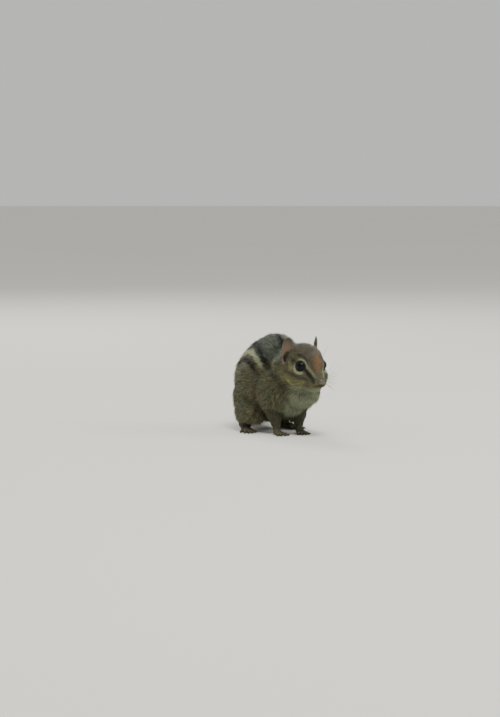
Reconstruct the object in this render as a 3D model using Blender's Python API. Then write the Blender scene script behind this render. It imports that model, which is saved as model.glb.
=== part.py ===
"""Eastern chipmunk, life size, crouched on all fours with its back hunched and its head turned a little to its left.

The animal faces -Y and its own left is +X. Lengths here are in millimetres, with the spot on the floor between the
forefeet as their origin. finish_all turns each node into metres and moves the origin to the middle of the footprint.
"""

import math
import random

import bmesh
import bpy
from mathutils import Matrix, Vector

MM = 0.001
GAP = 0.3

# Trunk: how high, long and wide the hunched ball of the body is, with its coat
BACK_HEIGHT = 71.3
BALL_TOP = 66.0
BELLY_HEIGHT = 8.5
CHEST_FRONT = 11.5
RUMP_BACK = 63.5
BALL_HALF = 25.4
HAUNCH_HALF = 25.2
SHOULDER_HALF = 21.5

# Head: its centre, how it is turned, and its main sizes in its own frame
HEAD_CENTRE = Vector((2.9, -21.0, 49.4))
HEAD_YAW, HEAD_PITCH, HEAD_ROLL = 2.0, 16.0, -1.0
HEAD_WIDTH = 30.0
CROWN = 16.2
JAW_DROP = 13.4
HEAD_REGION = (Vector((0.0, -4.0, 1.0)), (24.0, 27.0, 19.0))
HEAD_BACK_PLANE = 14.5

EYE_RADIUS = 4.0
EYE_CENTRE = Vector((8.0, -5.35, 3.5))
EYE_AXIS = Vector((0.864, -0.459, 0.208)).normalized()
LID_DEPTH = 2.15

EAR_BASE = Vector((9.4, 10.2, 2.6))
EAR_HEIGHT, EAR_WIDTH, EAR_THICK = 19.9, 10.0, 1.0
EAR_WIDEST = 0.64
EAR_TIP_LEAN = 2.6
EAR_FACING, EAR_LEAN_OUT, EAR_LEAN_BACK = 58.0, -1.5, 12.0

NOSE_CENTRE = Vector((0.0, -20.7, -2.7))
NOSE_RADII = (2.5, 1.8, 1.9)

# Feet and legs
FOOT_TOP = 6.5
SOLE_PRESS = 0.7
FOREFOOT_HEADINGS = {-1: Vector((-0.06, -1.0, 0.0)), 1: Vector((-0.22, -1.0, 0.0))}
WRISTS = {-1: Vector((-10.2, 0.5, 0.0)), 1: Vector((7.8, 0.0, 0.0))}
HEELS = {-1: Vector((-15.5, 43.5, 0.0)), 1: Vector((13.5, 48.0, 0.0))}
HIND_TOES = {-1: Vector((-24.6, 18.5, 0.0)), 1: Vector((18.6, 23.5, 0.0))}

# Tail: the points that its bone follows, and its brush of hair
TAIL_PATH = (
    (0.0, 50.0, 13.6), (1.5, 58.0, 10.2), (5.5, 68.0, 7.2), (14.0, 85.0, 5.9), (23.5, 102.0, 5.3), (33.0, 119.0, 4.6),
)
TAIL_TIERS = 9
LOCKS_PER_TIER = 7
TAIL_CORE = (4.4, 3.1)
LOCK_LENGTH, LOCK_WIDTH, LOCK_THICK = 17.5, 6.6, 1.2

COLOURS = {
    "coat": ((0.20, 0.165, 0.10, 1.0), 0.85),
    "face": ((0.25, 0.175, 0.095, 1.0), 0.85),
    "haunch": ((0.24, 0.165, 0.08, 1.0), 0.85),
    "leg": ((0.27, 0.20, 0.115, 1.0), 0.85),
    "tail": ((0.17, 0.135, 0.085, 1.0), 0.85),
    "ear": ((0.36, 0.24, 0.18, 1.0), 0.7),
    "nose": ((0.30, 0.19, 0.16, 1.0), 0.5),
    "foot": ((0.33, 0.255, 0.17, 1.0), 0.75),
    "eye": ((0.008, 0.006, 0.005, 1.0), 0.06),
}


def clear_scene():
    for obj in list(bpy.data.objects):
        bpy.data.objects.remove(obj)


def head_frame():
    """The matrix that carries the head's own frame, which also faces -Y, into the animal's."""
    turn = Matrix.Rotation(math.radians(HEAD_YAW), 4, "Z") @ Matrix.Rotation(math.radians(HEAD_PITCH), 4, "X")
    return Matrix.Translation(HEAD_CENTRE) @ turn @ Matrix.Rotation(math.radians(HEAD_ROLL), 4, "Y")


def mirrored(point, side):
    return Vector((point[0] * side, point[1], point[2]))


def object_of(bm, name="piece"):
    mesh = bpy.data.meshes.new(name)
    bm.to_mesh(mesh)
    bm.free()
    obj = bpy.data.objects.new(name, mesh)
    bpy.context.scene.collection.objects.link(obj)
    return obj


def removed(*objects):
    for obj in objects:
        bpy.data.objects.remove(obj)


def settled(obj):
    """The object with its modifiers applied."""
    bpy.context.view_layer.update()
    graph = bpy.context.evaluated_depsgraph_get()
    obj.data = bpy.data.meshes.new_from_object(obj.evaluated_get(graph))
    obj.modifiers.clear()
    return obj


def ellipsoid(centre, radii, frame=Matrix(), tilt=0.0, segments=28):
    """A closed ball stretched to radii, tilted about X by so many degrees, in the frame given."""
    bm = bmesh.new()
    place = frame @ Matrix.Translation(centre) @ Matrix.Rotation(math.radians(tilt), 4, "X")
    size = Matrix.Diagonal((*radii, 1.0))
    bmesh.ops.create_uvsphere(bm, u_segments=segments, v_segments=segments // 2, radius=1.0, matrix=place @ size)
    return object_of(bm)


def box(low, high, frame=Matrix()):
    bm = bmesh.new()
    low, high = Vector(low), Vector(high)
    size = Matrix.Diagonal((*(high - low), 1.0))
    bmesh.ops.create_cube(bm, size=1.0, matrix=frame @ Matrix.Translation((low + high) / 2) @ size)
    return object_of(bm)


def ring_frame(path, i):
    """The matrix at a path's point whose Z runs along the path and whose X stays level."""
    along = (path[min(i + 1, len(path) - 1)] - path[max(i - 1, 0)]).normalized()
    level = Vector((0, 0, 1)).cross(along)
    level = level.normalized() if level.length > 0.05 else Vector((1, 0, 0))
    over = along.cross(level)
    return Matrix.Translation(path[i]) @ Matrix((level, over, along)).transposed().to_4x4()


def tube(path, widths, heights=None, sides=10):
    """A closed tube of elliptic rings along the path, ending in flat caps."""
    path = [Vector(p) for p in path]
    heights = heights or widths
    bm = bmesh.new()
    rings = []
    for i in range(len(path)):
        frame = ring_frame(path, i)
        angles = [2 * math.pi * k / sides for k in range(sides)]
        ring = [frame @ Vector((widths[i] * math.cos(a), heights[i] * math.sin(a), 0)) for a in angles]
        rings.append([bm.verts.new(p) for p in ring])
    for low, high in zip(rings, rings[1:]):
        for k in range(sides):
            bm.faces.new((low[k], low[(k + 1) % sides], high[(k + 1) % sides], high[k]))
    bm.faces.new(list(reversed(rings[0])))
    bm.faces.new(rings[-1])
    bmesh.ops.recalc_face_normals(bm, faces=bm.faces)
    return object_of(bm)


def curve_through(points, steps):
    """Points on a smooth curve through the ones given, with so many steps between two of them."""
    points = [Vector(p) for p in points]
    ends = [2 * points[0] - points[1], *points, 2 * points[-1] - points[-2]]
    found = []
    for a, b, c, d in zip(ends, ends[1:], ends[2:], ends[3:]):
        for k in range(steps):
            t = k / steps
            near, far = (c - a) / 2, (d - b) / 2
            found.append(
                (2 * t**3 - 3 * t**2 + 1) * b + (t**3 - 2 * t**2 + t) * near
                + (-2 * t**3 + 3 * t**2) * c + (t**3 - t**2) * far
            )
    return [*found, points[-1]]


def grown_together(pieces, voxel, smoothing):
    """One closed, smooth skin over overlapping closed pieces, which are removed."""
    bm = bmesh.new()
    for piece in pieces:
        bm.from_mesh(piece.data)
    removed(*pieces)
    obj = object_of(bm, "skin")
    remesh = obj.modifiers.new("remesh", "REMESH")
    remesh.mode = "VOXEL"
    remesh.voxel_size = voxel
    smooth = obj.modifiers.new("smooth", "SMOOTH")
    smooth.factor = 0.5
    smooth.iterations = smoothing
    return largest(settled(obj))


def decimated(obj, triangles):
    obj.data.calc_loop_triangles()
    modifier = obj.modifiers.new("decimate", "DECIMATE")
    modifier.ratio = min(1.0, triangles / len(obj.data.loop_triangles))
    return settled(obj)


def grown(obj, distance):
    """A copy of the object with its surface moved out, to cut room for it elsewhere."""
    copy = object_of(bmesh.new())
    copy.data = obj.data.copy()
    displace = copy.modifiers.new("grow", "DISPLACE")
    displace.mid_level = 0.0
    displace.strength = distance
    return settled(copy)


def combined(obj, operation, *others):
    """A Boolean of the object with the others, which are removed."""
    helpers = bpy.data.collections.new("helpers")
    bpy.context.scene.collection.children.link(helpers)
    for other in others:
        helpers.objects.link(other)
    modifier = obj.modifiers.new("cut", "BOOLEAN")
    modifier.operation = operation
    modifier.operand_type = "COLLECTION"
    modifier.collection = helpers
    modifier.solver = "EXACT"
    settled(obj)
    removed(*others)
    bpy.data.collections.remove(helpers)
    return largest(obj)


def copied(obj):
    copy = object_of(bmesh.new())
    copy.data = obj.data.copy()
    return copy


def largest(obj):
    """The object with only its largest closed surface, in triangles."""
    bm = bmesh.new()
    bm.from_mesh(obj.data)
    bmesh.ops.triangulate(bm, faces=bm.faces)
    unseen, groups = set(bm.faces), []
    while unseen:
        front = [unseen.pop()]
        group = set(front)
        while front:
            edges = {e for f in front for e in f.edges if len(e.link_faces) == 2}
            near = {f for e in edges for f in e.link_faces} & unseen
            unseen -= near
            group |= near
            front = list(near)
        groups.append(group)
    keep = max(groups, key=lambda g: sum(f.calc_area() for f in g))
    bmesh.ops.delete(bm, geom=[f for f in bm.faces if f not in keep], context="FACES")
    bm.to_mesh(obj.data)
    bm.free()
    return obj


def trunk_masses():
    """The overlapping masses of the body: hunched back, rump, haunches, chest, shoulders, neck and upper limbs."""
    ball = (BALL_TOP + BELLY_HEIGHT) / 2
    masses = [
        ellipsoid((0, 30.0, ball - 1.0), (BALL_HALF, 32.5, BALL_TOP - ball + 1.0)),
        ellipsoid((0, 21.5, BACK_HEIGHT - 27.2), (19.6, 25.5, 27.2), tilt=-8),
        ellipsoid((0, RUMP_BACK - 17.5, 27.0), (21.0, 17.5, 18.5)),
        ellipsoid((0, 2.5, 27.5), (14.5, CHEST_FRONT + 2.5, 15.5)),
        ellipsoid((0, 27.0, BALL_TOP - 23.5), (22.5, 29.0, 26.5), tilt=-4),
        ellipsoid((1.0, -4.0, 47.5), (15.6, 15.5, 16.0)),
        ellipsoid((4.2, -10.5, 33.5), (13.6, 13.0, 13.8)),
    ]
    for side in (-1, 1):
        wrist = WRISTS[side]
        knee = (HIND_TOES[side] + HEELS[side]) / 2
        masses += [
            ellipsoid((side * (HAUNCH_HALF - 13.0), 35.0, 25.0), (13.0, 20.5, 19.0), tilt=-8),
            ellipsoid((knee.x - side * 2.2, knee.y - 1.0, 14.0), (8.6, 16.5, 11.6), tilt=4),
            ellipsoid((side * (SHOULDER_HALF - 11.8), 6.5, 31.0), (11.8, 14.0, 17.0)),
            tube(
                [
                    (side * 12.0, 7.5, 24), wrist.lerp((side * 12.0, 7.5, 0), 0.5) + Vector((0, 0, 14)),
                    wrist + Vector((0, 1.8, 8)), wrist + Vector((0, 1.2, 4)),
                ],
                (7.2, 5.4, 3.9, 3.3),
            ),
        ]
    return masses


def head_masses(frame):
    """The overlapping masses of the head, in its own frame: cranium, brow, muzzle, cheeks, jaw and throat."""
    width = HEAD_WIDTH / 2
    masses = [
        ellipsoid((0, 4.2, CROWN - 12.6), (width - 2.4, 16.5, 12.6), frame),
        ellipsoid((0, -4.3, 4.6), (10.0, 11.0, 9.8), frame),
        ellipsoid((0, -12.3, -2.7), (7.0, 9.8, 6.6), frame, tilt=10),
        ellipsoid((0, -17.6, -3.6), (4.9, 5.0, 4.7), frame),
        ellipsoid((0, -8.0, 3.4 - JAW_DROP), (6.6, 10.4, 4.4), frame),
        ellipsoid((0, 4.5, -7.0), (12.0, 13.0, 9.5), frame),
    ]
    for side in (-1, 1):
        masses += [
            ellipsoid((side * (width - 7.6), -0.5, -5.2), (7.8, 12.0, 8.8), frame),
            ellipsoid((side * 3.2, -15.9, -5.0), (3.9, 5.2, 4.1), frame),
        ]
    return masses


def eye_ball(frame, side, radius):
    return ellipsoid(mirrored(EYE_CENTRE, side), (radius,) * 3, frame, segments=20)


def lid_ring(frame, side):
    """The ridge of the two lids, an almond ring round the eye at the height where the ball comes out."""
    axis = mirrored(EYE_AXIS, side)
    turn = axis.to_track_quat("Z", "Y").to_matrix().to_4x4()
    place = frame @ Matrix.Translation(mirrored(EYE_CENTRE, side) + axis * LID_DEPTH) @ turn
    opening = EYE_RADIUS * 0.98
    path = []
    for k in range(24):
        angle = 2 * math.pi * k / 24
        # The ring is longer towards its corners, along the head, than from lid to lid.
        path.append(place @ Vector((opening * math.cos(angle), opening * 1.06 * math.sin(angle), 0)))
    bm = bmesh.new()
    rings = []
    centre = place.translation
    for point in path:
        out = (point - centre).normalized()
        axis_world = (place.to_3x3() @ Vector((0, 0, 1))).normalized()
        angles = [2 * math.pi * k / 8 for k in range(8)]
        rings.append([bm.verts.new(point + 1.0 * (out * math.cos(a) + axis_world * math.sin(a))) for a in angles])
    for i, ring in enumerate(rings):
        after = rings[(i + 1) % len(rings)]
        for k in range(8):
            bm.faces.new((ring[k], ring[(k + 1) % 8], after[(k + 1) % 8], after[k]))
    bmesh.ops.recalc_face_normals(bm, faces=bm.faces)
    return object_of(bm)


def nose_pad(frame, extra=0.0):
    radii = [r + extra for r in NOSE_RADII]
    return ellipsoid(NOSE_CENTRE, radii, frame, tilt=-12, segments=16)


def on_surface(obj, point, lift=0.0):
    """The nearest point of the object's surface, raised along its normal."""
    found, where, normal, _ = obj.closest_point_on_mesh(point)
    return where + normal * lift


def mouth_cutter(head, frame):
    """A thin tube laid along the line of the mouth: down from the nose, then back and up along each lip."""
    half = [(0.0, -20.5, -7.4), (2.6, -18.8, -8.1), (4.6, -15.8, -8.6), (6.2, -12.6, -8.4), (7.4, -10.2, -7.4)]
    line = [mirrored(p, -1) for p in reversed(half[1:])] + [Vector(p) for p in half]
    path = [on_surface(head, frame @ p, 0.15) for p in curve_through(line, 3)]
    sizes = [0.25 + 0.4 * math.sin(math.pi * (i + 0.6) / (len(path) + 0.2)) for i in range(len(path))]
    return tube(path, sizes, sides=6)


def philtrum_cutter(head, frame):
    line = [Vector((0, -23.0, -4.2)), Vector((0, -22.0, -5.6)), Vector((0, -20.6, -7.2))]
    path = [on_surface(head, frame @ p, 0.1) for p in curve_through(line, 3)]
    return tube(path, [0.4] * len(path), sides=6)


def ear_shell(frame, side):
    """A thin cup, open forward and outward, wide at mid height, with a rounded top and rims that curl forward."""
    bm = bmesh.new()
    bmesh.ops.create_grid(bm, x_segments=8, y_segments=9, size=1.0)
    for vert in bm.verts:
        height = (vert.co.y + 1) / 2
        across = vert.co.x
        if height > EAR_WIDEST:
            profile = math.sqrt(max(0.0, 1 - ((height - EAR_WIDEST) / (1.02 - EAR_WIDEST)) ** 2))
        else:
            profile = 0.55 + 0.45 * math.sin(math.pi / 2 * height / EAR_WIDEST)
        half = EAR_WIDTH / 2 * profile
        curl = math.radians(72 - 38 * height)
        radius = half / math.sin(curl)
        angle = across * curl
        tall = EAR_HEIGHT * (height - 0.035 * across * across * (height > 0.3))
        lean = -EAR_TIP_LEAN * height * height
        vert.co = Vector((radius * math.sin(angle), lean - radius * (1 - math.cos(angle)), tall))
    obj = object_of(bm)
    solid = obj.modifiers.new("solid", "SOLIDIFY")
    solid.thickness = EAR_THICK
    solid.offset = 0.0
    solid.use_quality_normals = True
    settled(obj)
    # The ear leans out and back, and its cup is turned out from straight ahead.
    turn = Matrix.Rotation(math.radians(side * EAR_LEAN_OUT), 4, "Y")
    turn = turn @ Matrix.Rotation(math.radians(-EAR_LEAN_BACK), 4, "X")
    turn = turn @ Matrix.Rotation(math.radians(side * EAR_FACING), 4, "Z")
    sunk = mirrored(EAR_BASE, side) - turn.to_3x3() @ Vector((0, 0, 3.6))
    obj.data.transform(frame @ Matrix.Translation(sunk) @ turn)
    bm = bmesh.new()
    bm.from_mesh(obj.data)
    bmesh.ops.recalc_face_normals(bm, faces=bm.faces)
    bm.to_mesh(obj.data)
    bm.free()
    return obj


def claw(base, direction, length, radius):
    """A claw that leaves the toe level and curves down to the floor, tapering to its tip."""
    out = Vector(direction).normalized()
    path, sizes = [], []
    for k in range(5):
        t = k / 4
        path.append(Vector(base) + out * length * t + Vector((0, 0, 0.45 * length * (0.35 * t - t * t))))
        sizes.append(radius * (1 - 0.82 * t))
    return tube(path, sizes, sides=6)


def toe(knuckle, direction, length, radius):
    """A toe's flesh: it rises a little over the middle joint and comes down to the pad."""
    out = Vector(direction).normalized()
    path, sizes = [], []
    for k in range(6):
        t = k / 5
        path.append(Vector(knuckle) + out * length * t + Vector((0, 0, 0.9 * math.sin(math.pi * t) - 0.35 * t)))
        sizes.append(radius * (1.12 - 0.3 * t + 0.14 * math.sin(2 * math.pi * t)))
    pad = path[-1] - Vector((0, 0, 0.1))
    return [tube(path, sizes, sides=8), ellipsoid(pad, (radius * 0.95,) * 3, segments=12)]


def foot(palm_pieces, toes, flesh_triangles):
    """A foot of fused palm and toes with claws, flat where it meets the floor and cut level under the limb."""
    flesh, claws = list(palm_pieces), []
    for knuckle, direction, length, radius in toes:
        flesh += toe(knuckle, direction, length, radius)
        tip = Vector(knuckle) + Vector(direction).normalized() * (length + radius * 0.35) + Vector((0, 0, 0.35))
        claws.append(claw(tip, direction, 2.6 if length > 6.5 else 2.2, 0.55))
    obj = decimated(grown_together(flesh, 0.4, 4), flesh_triangles)
    obj = combined(obj, "UNION", *claws)
    obj.data.transform(Matrix.Translation((0, 0, -SOLE_PRESS)))
    below = box((-90, -90, -20), (90, 90, 0))
    above = box((-90, -90, FOOT_TOP), (90, 90, 40))
    return combined(obj, "DIFFERENCE", below, above)


def forefoot(side):
    """A forefoot: wrist, palm and four spread toes."""
    wrist = WRISTS[side]
    heading = FOREFOOT_HEADINGS[side].normalized()
    across = Vector((-heading.y, heading.x, 0)) * side
    palm = wrist + heading * 3.6
    pieces = [
        tube((wrist + Vector((0, 1.2, 9)), wrist + Vector((0, 1.0, 5)), wrist + Vector((0, 0, 2.4))), (3.3, 3.0, 2.8)),
        ellipsoid(palm + Vector((0, 0, 2.2)), (3.5, 4.4, 2.0)),
        ellipsoid(wrist + Vector((0, 0.3, 2.3)), (2.7, 3.0, 2.4)),
    ]
    toes = []
    for k, spread in enumerate((-18, -5, 8, 21)):
        swing = Matrix.Rotation(math.radians(spread * side), 3, "Z")
        direction = swing @ heading
        knuckle = palm + across * (k - 1.5) * 1.65 + heading * 2.2 + Vector((0, 0, 1.55))
        toes.append((knuckle, direction, (4.9, 5.9, 5.8, 4.7)[k], 1.05))
    return foot(pieces, toes, 400)


def hindfoot(side):
    """A hind foot: heel, long sole and five toes."""
    heel, front = HEELS[side], HIND_TOES[side]
    heading = (front - heel).normalized()
    across = Vector((-heading.y, heading.x, 0)) * side
    length = (front - heel).length
    ball = front - heading * 7.2
    pieces = [
        tube(
            [heel + heading * t + Vector((0, 0, z)) for t, z in ((-1.5, 2.9), (4, 3.2), (11, 2.9), (length - 8, 2.4))],
            (2.6, 3.3, 3.4, 4.0), (2.8, 3.2, 2.9, 2.2),
        ),
        ellipsoid(heel + Vector((0, 0, 3.4)), (3.4, 4.6, 3.6)),
        ellipsoid(heel + heading * 7 + Vector((0, 0, 5.2)), (4.4, 7.0, 4.2)),
        ellipsoid(ball + Vector((0, 0, 2.2)), (4.7, 5.0, 2.1)),
    ]
    toes = []
    for k, spread in enumerate((-19, -8, 0, 8, 20)):
        swing = Matrix.Rotation(math.radians(spread * side), 3, "Z")
        direction = swing @ heading
        back = (1.6, 0.2, 0.0, 0.3, 2.0)[k]
        knuckle = ball + across * (k - 2) * 1.7 + heading * (3.2 - back) + Vector((0, 0, 1.6))
        toes.append((knuckle, direction, (5.6, 7.3, 7.8, 7.2, 5.2)[k], 1.08))
    return foot(pieces, toes, 470)


def lock(root, direction, flat, length, width, thickness, bend):
    """A flat, tapered lock of hair that leaves its root along direction and bends towards bend."""
    bm = bmesh.new()
    rings = []
    direction, bend, flat = direction.normalized(), bend.normalized(), flat.normalized()
    for t, share in ((0.0, 0.62), (0.38, 1.0), (0.74, 0.66)):
        heading = direction.lerp(bend, t).normalized()
        centre = root + (direction.lerp(bend, t / 2).normalized()) * length * t
        wide = flat.cross(heading).normalized()
        over = heading.cross(wide).normalized()
        half, thick = width / 2 * share, thickness / 2 * (1.15 - 0.5 * t)
        rings.append([bm.verts.new(centre + p) for p in (wide * half, over * thick, -wide * half, -over * thick)])
    tip = bm.verts.new(root + direction.lerp(bend, 0.5).normalized() * length)
    for low, high in zip(rings, rings[1:]):
        for k in range(4):
            bm.faces.new((low[k], low[(k + 1) % 4], high[(k + 1) % 4], high[k]))
    for k in range(4):
        bm.faces.new((rings[-1][k], rings[-1][(k + 1) % 4], tip))
    bm.faces.new(list(reversed(rings[0])))
    bmesh.ops.recalc_face_normals(bm, faces=bm.faces)
    return object_of(bm, "lock")


def tail_core():
    path = curve_through(TAIL_PATH, 3)
    last = len(path) - 1
    widths = [TAIL_CORE[0] * (1.0 - 0.62 * (i / last) ** 1.4) for i in range(last + 1)]
    heights = [TAIL_CORE[1] * (1.0 - 0.5 * (i / last) ** 1.4) for i in range(last + 1)]
    return path, tube(path, widths, heights, sides=12)


def tail(torso_room):
    """The tail: a slim core with tiers of flat, overlapping locks that widen it to both sides, and a pointed tip."""
    path, core = tail_core()
    draw = random.Random(11)
    last = len(path) - 1
    locks = []
    for tier in range(TAIL_TIERS):
        share = 0.16 + 0.84 * tier / (TAIL_TIERS - 1)
        at = share * last
        i = min(int(at), last - 1)
        place = path[i].lerp(path[i + 1], at - i)
        frame = ring_frame(path, i)
        level, over, along = (frame.to_3x3() @ Vector(v) for v in ((1, 0, 0), (0, 1, 0), (0, 0, 1)))
        swell = 0.62 + 0.38 * math.sin(math.pi * min(1.0, share * 1.15))
        for k in range(LOCKS_PER_TIER):
            angle = 2 * math.pi * (k + 0.5 * (tier % 2)) / LOCKS_PER_TIER + draw.uniform(-0.12, 0.12)
            side, up = math.cos(angle), math.sin(angle)
            out = level * side + over * up
            lift = math.radians(9 + 27 * side * side) * (1 if up > -0.3 else 0.75)
            core_width = TAIL_CORE[0] * (1.0 - 0.62 * share**1.4)
            core_height = TAIL_CORE[1] * (1.0 - 0.5 * share**1.4)
            root = place + level * side * core_width * 0.55 + over * up * core_height * 0.5
            direction = along * math.cos(lift) + out * math.sin(lift)
            bend = along * math.cos(lift * 0.45) + out * math.sin(lift * 0.45)
            length = LOCK_LENGTH * swell * draw.uniform(0.92, 1.08)
            flat = over * (1 if up > 0 else -1) * 0.6 + out * 0.4
            locks.append(lock(root, direction, flat, length, LOCK_WIDTH * swell, LOCK_THICK, bend))
    core = combined(core, "UNION", *locks)
    below = box((-150, -10, -30), (150, 250, 0))
    return combined(core, "DIFFERENCE", below, torso_room)


def head_region(frame, extra):
    """The room that the head takes: an ellipsoid cut flat behind the cheeks."""
    centre, radii = HEAD_REGION
    room = ellipsoid(centre, [r + extra for r in radii], frame, segments=24)
    behind = box((-60, HEAD_BACK_PLANE + extra, -60), (60, 60, 60), frame)
    return combined(room, "DIFFERENCE", behind)


def region(centre, radii, side, extra=0.0, tilt=0.0):
    """The ellipsoid that takes a limb out of the body."""
    return ellipsoid(mirrored(centre, side), [r + extra for r in radii], tilt=tilt, segments=18)


def material(slot):
    found = bpy.data.materials.get(slot)
    if found:
        return found
    colour, roughness = COLOURS[slot]
    found = bpy.data.materials.new(slot)
    found.use_nodes = True
    found.diffuse_color = colour
    shader = found.node_tree.nodes["Principled BSDF"]
    shader.inputs["Base Color"].default_value = colour
    shader.inputs["Roughness"].default_value = roughness
    shader.inputs["Metallic"].default_value = 0.0
    return found


def build_head(whole, frame):
    """The head with lids, nose seat, mouth line and eye sockets, and its eyes, ears and nose."""
    raw = combined(copied(whole), "INTERSECT", head_region(frame, 1.5))
    lids = [lid_ring(frame, side) for side in (-1, 1)]
    head = decimated(grown_together([raw, *lids], 0.5, 5), 2900)
    sockets = [eye_ball(frame, side, EYE_RADIUS + GAP) for side in (-1, 1)]
    mouth, philtrum = mouth_cutter(head, frame), philtrum_cutter(head, frame)
    head = combined(head, "INTERSECT", head_region(frame, 0.0))
    head = combined(head, "DIFFERENCE", nose_pad(frame, GAP), *sockets)
    head = combined(head, "DIFFERENCE", mouth)
    head = combined(head, "DIFFERENCE", philtrum)
    nodes = {"head": (head, "face")}
    nostrils = [
        ellipsoid((side * 1.25, -23.1, -2.5), (0.62, 1.0, 0.5), frame, segments=12) for side in (-1, 1)
    ]
    nodes["nose"] = (combined(nose_pad(frame), "DIFFERENCE", *nostrils), "nose")
    room = grown(head, GAP)
    for side, word in ((-1, "right"), (1, "left")):
        nodes["eye_" + word] = (eye_ball(frame, side, EYE_RADIUS), "eye")
        ear = combined(ear_shell(frame, side), "DIFFERENCE", copied(room))
        nodes["ear_" + word] = (ear, "ear")
    removed(room)
    return nodes


def clear_of(nodes, name, *others):
    """Cuts a node clear of some others, by the gap."""
    obj, slot = nodes[name]
    rooms = [grown(nodes[other][0], GAP) for other in others]
    nodes[name] = (combined(obj, "DIFFERENCE", *rooms), slot)


def build_body(whole, frame):
    """The neck, torso, thighs, forelegs and tail, parted by thin cuts from one smooth body."""
    body = decimated(whole, 2800)
    body = combined(body, "DIFFERENCE", head_region(frame, GAP))
    body = combined(body, "DIFFERENCE", box((-90, -90, -20), (90, 160, FOOT_TOP + GAP)))
    nodes = {}
    thigh_region = (Vector((22.5, 34.0, 21.0)), (14.5, 22.5, 23.5))
    leg_region = (Vector((11.5, 2.5, 10.0)), (9.0, 11.0, 12.5))
    for side, word in ((-1, "right"), (1, "left")):
        nodes["thigh_" + word] = (combined(copied(body), "INTERSECT", region(*thigh_region, side)), "haunch")
        nodes["foreleg_" + word] = (combined(copied(body), "INTERSECT", region(*leg_region, side)), "leg")
    cuts = [region(*shape, side, GAP) for shape in (thigh_region, leg_region) for side in (-1, 1)]
    body = combined(body, "DIFFERENCE", *cuts)
    neck_region = (Vector((2.5, -7.0, 43.0)), (21.0, 16.5, 24.5))
    nodes["neck"] = (combined(copied(body), "INTERSECT", region(*neck_region, 1, tilt=-14)), "coat")
    nodes["torso"] = (combined(body, "DIFFERENCE", region(*neck_region, 1, GAP, tilt=-14)), "coat")
    nodes["tail"] = (tail(grown(nodes["torso"][0], GAP)), "tail")
    return nodes


def tidied(obj):
    """Melts the slivers that a cut leaves in a flat face."""
    bm = bmesh.new()
    bm.from_mesh(obj.data)
    bmesh.ops.dissolve_limit(bm, angle_limit=math.radians(2.0), verts=bm.verts, edges=bm.edges)
    bmesh.ops.dissolve_degenerate(bm, dist=0.01, edges=bm.edges)
    bmesh.ops.triangulate(bm, faces=bm.faces)
    bm.to_mesh(obj.data)
    bm.free()
    return obj


def finish_all(nodes):
    """Names, colours and shades each node, turns it into metres and centres the footprint on the origin."""
    corners = [v.co for obj, _ in nodes.values() for v in obj.data.vertices]
    low = Vector(min(c[k] for c in corners) for k in range(3))
    high = Vector(max(c[k] for c in corners) for k in range(3))
    centre = (low + high) / 2
    place = Matrix.Scale(MM, 4) @ Matrix.Translation((-centre.x, -centre.y, 0))
    for name, (obj, slot) in nodes.items():
        tidied(obj).data.transform(place)
        obj.data.name = name
        obj.name = name
        obj.data.materials.clear()
        obj.data.materials.append(material(slot))
        obj.data.shade_smooth()
        obj.data.set_sharp_from_angle(angle=math.radians(42))


def main():
    clear_scene()
    frame = head_frame()
    whole = grown_together(trunk_masses() + head_masses(frame), 0.85, 20)
    nodes = build_head(whole, frame)
    nodes.update(build_body(whole, frame))
    for ear in ("ear_left", "ear_right"):
        clear_of(nodes, ear, "neck", "torso")
    for side, word in ((-1, "right"), (1, "left")):
        nodes["forefoot_" + word] = (forefoot(side), "foot")
        nodes["hindfoot_" + word] = (hindfoot(side), "foot")
    finish_all(nodes)


main()
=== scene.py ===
"""The looks of a life-size eastern chipmunk: its skin, coat, face, feet and tail, and the stage it stands on.

Two frames are used beside the model's own. The animal's frame is in millimetres, with the spot on the floor between
the forefeet as its origin. The head's frame is in millimetres too, centred in the skull: X to the animal's left, -Y to
the nose, Z to the crown.
"""

import math

import bmesh
import bpy
import numpy as np
from bpy.props import FloatProperty, FloatVectorProperty, IntProperty, PointerProperty
from mathutils import Matrix, Vector
from mathutils.bvhtree import BVHTree
from mathutils.kdtree import KDTree


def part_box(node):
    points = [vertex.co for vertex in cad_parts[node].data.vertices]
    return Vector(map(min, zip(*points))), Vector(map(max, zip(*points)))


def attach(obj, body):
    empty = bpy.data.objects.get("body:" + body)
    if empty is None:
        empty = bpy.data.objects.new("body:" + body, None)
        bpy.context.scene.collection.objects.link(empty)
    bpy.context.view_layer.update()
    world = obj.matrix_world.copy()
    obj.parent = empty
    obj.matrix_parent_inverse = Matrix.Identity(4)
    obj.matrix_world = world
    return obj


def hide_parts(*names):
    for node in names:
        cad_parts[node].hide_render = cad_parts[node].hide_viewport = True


bl_info = {
    "name": "Eastern chipmunk",
    "version": (1, 0, 0),
    "blender": (4, 5, 0),
    "location": "View3D > Sidebar > Chipmunk",
    "description": "Dresses the packed model of a life-size eastern chipmunk",
    "category": "Object",
}

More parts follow.
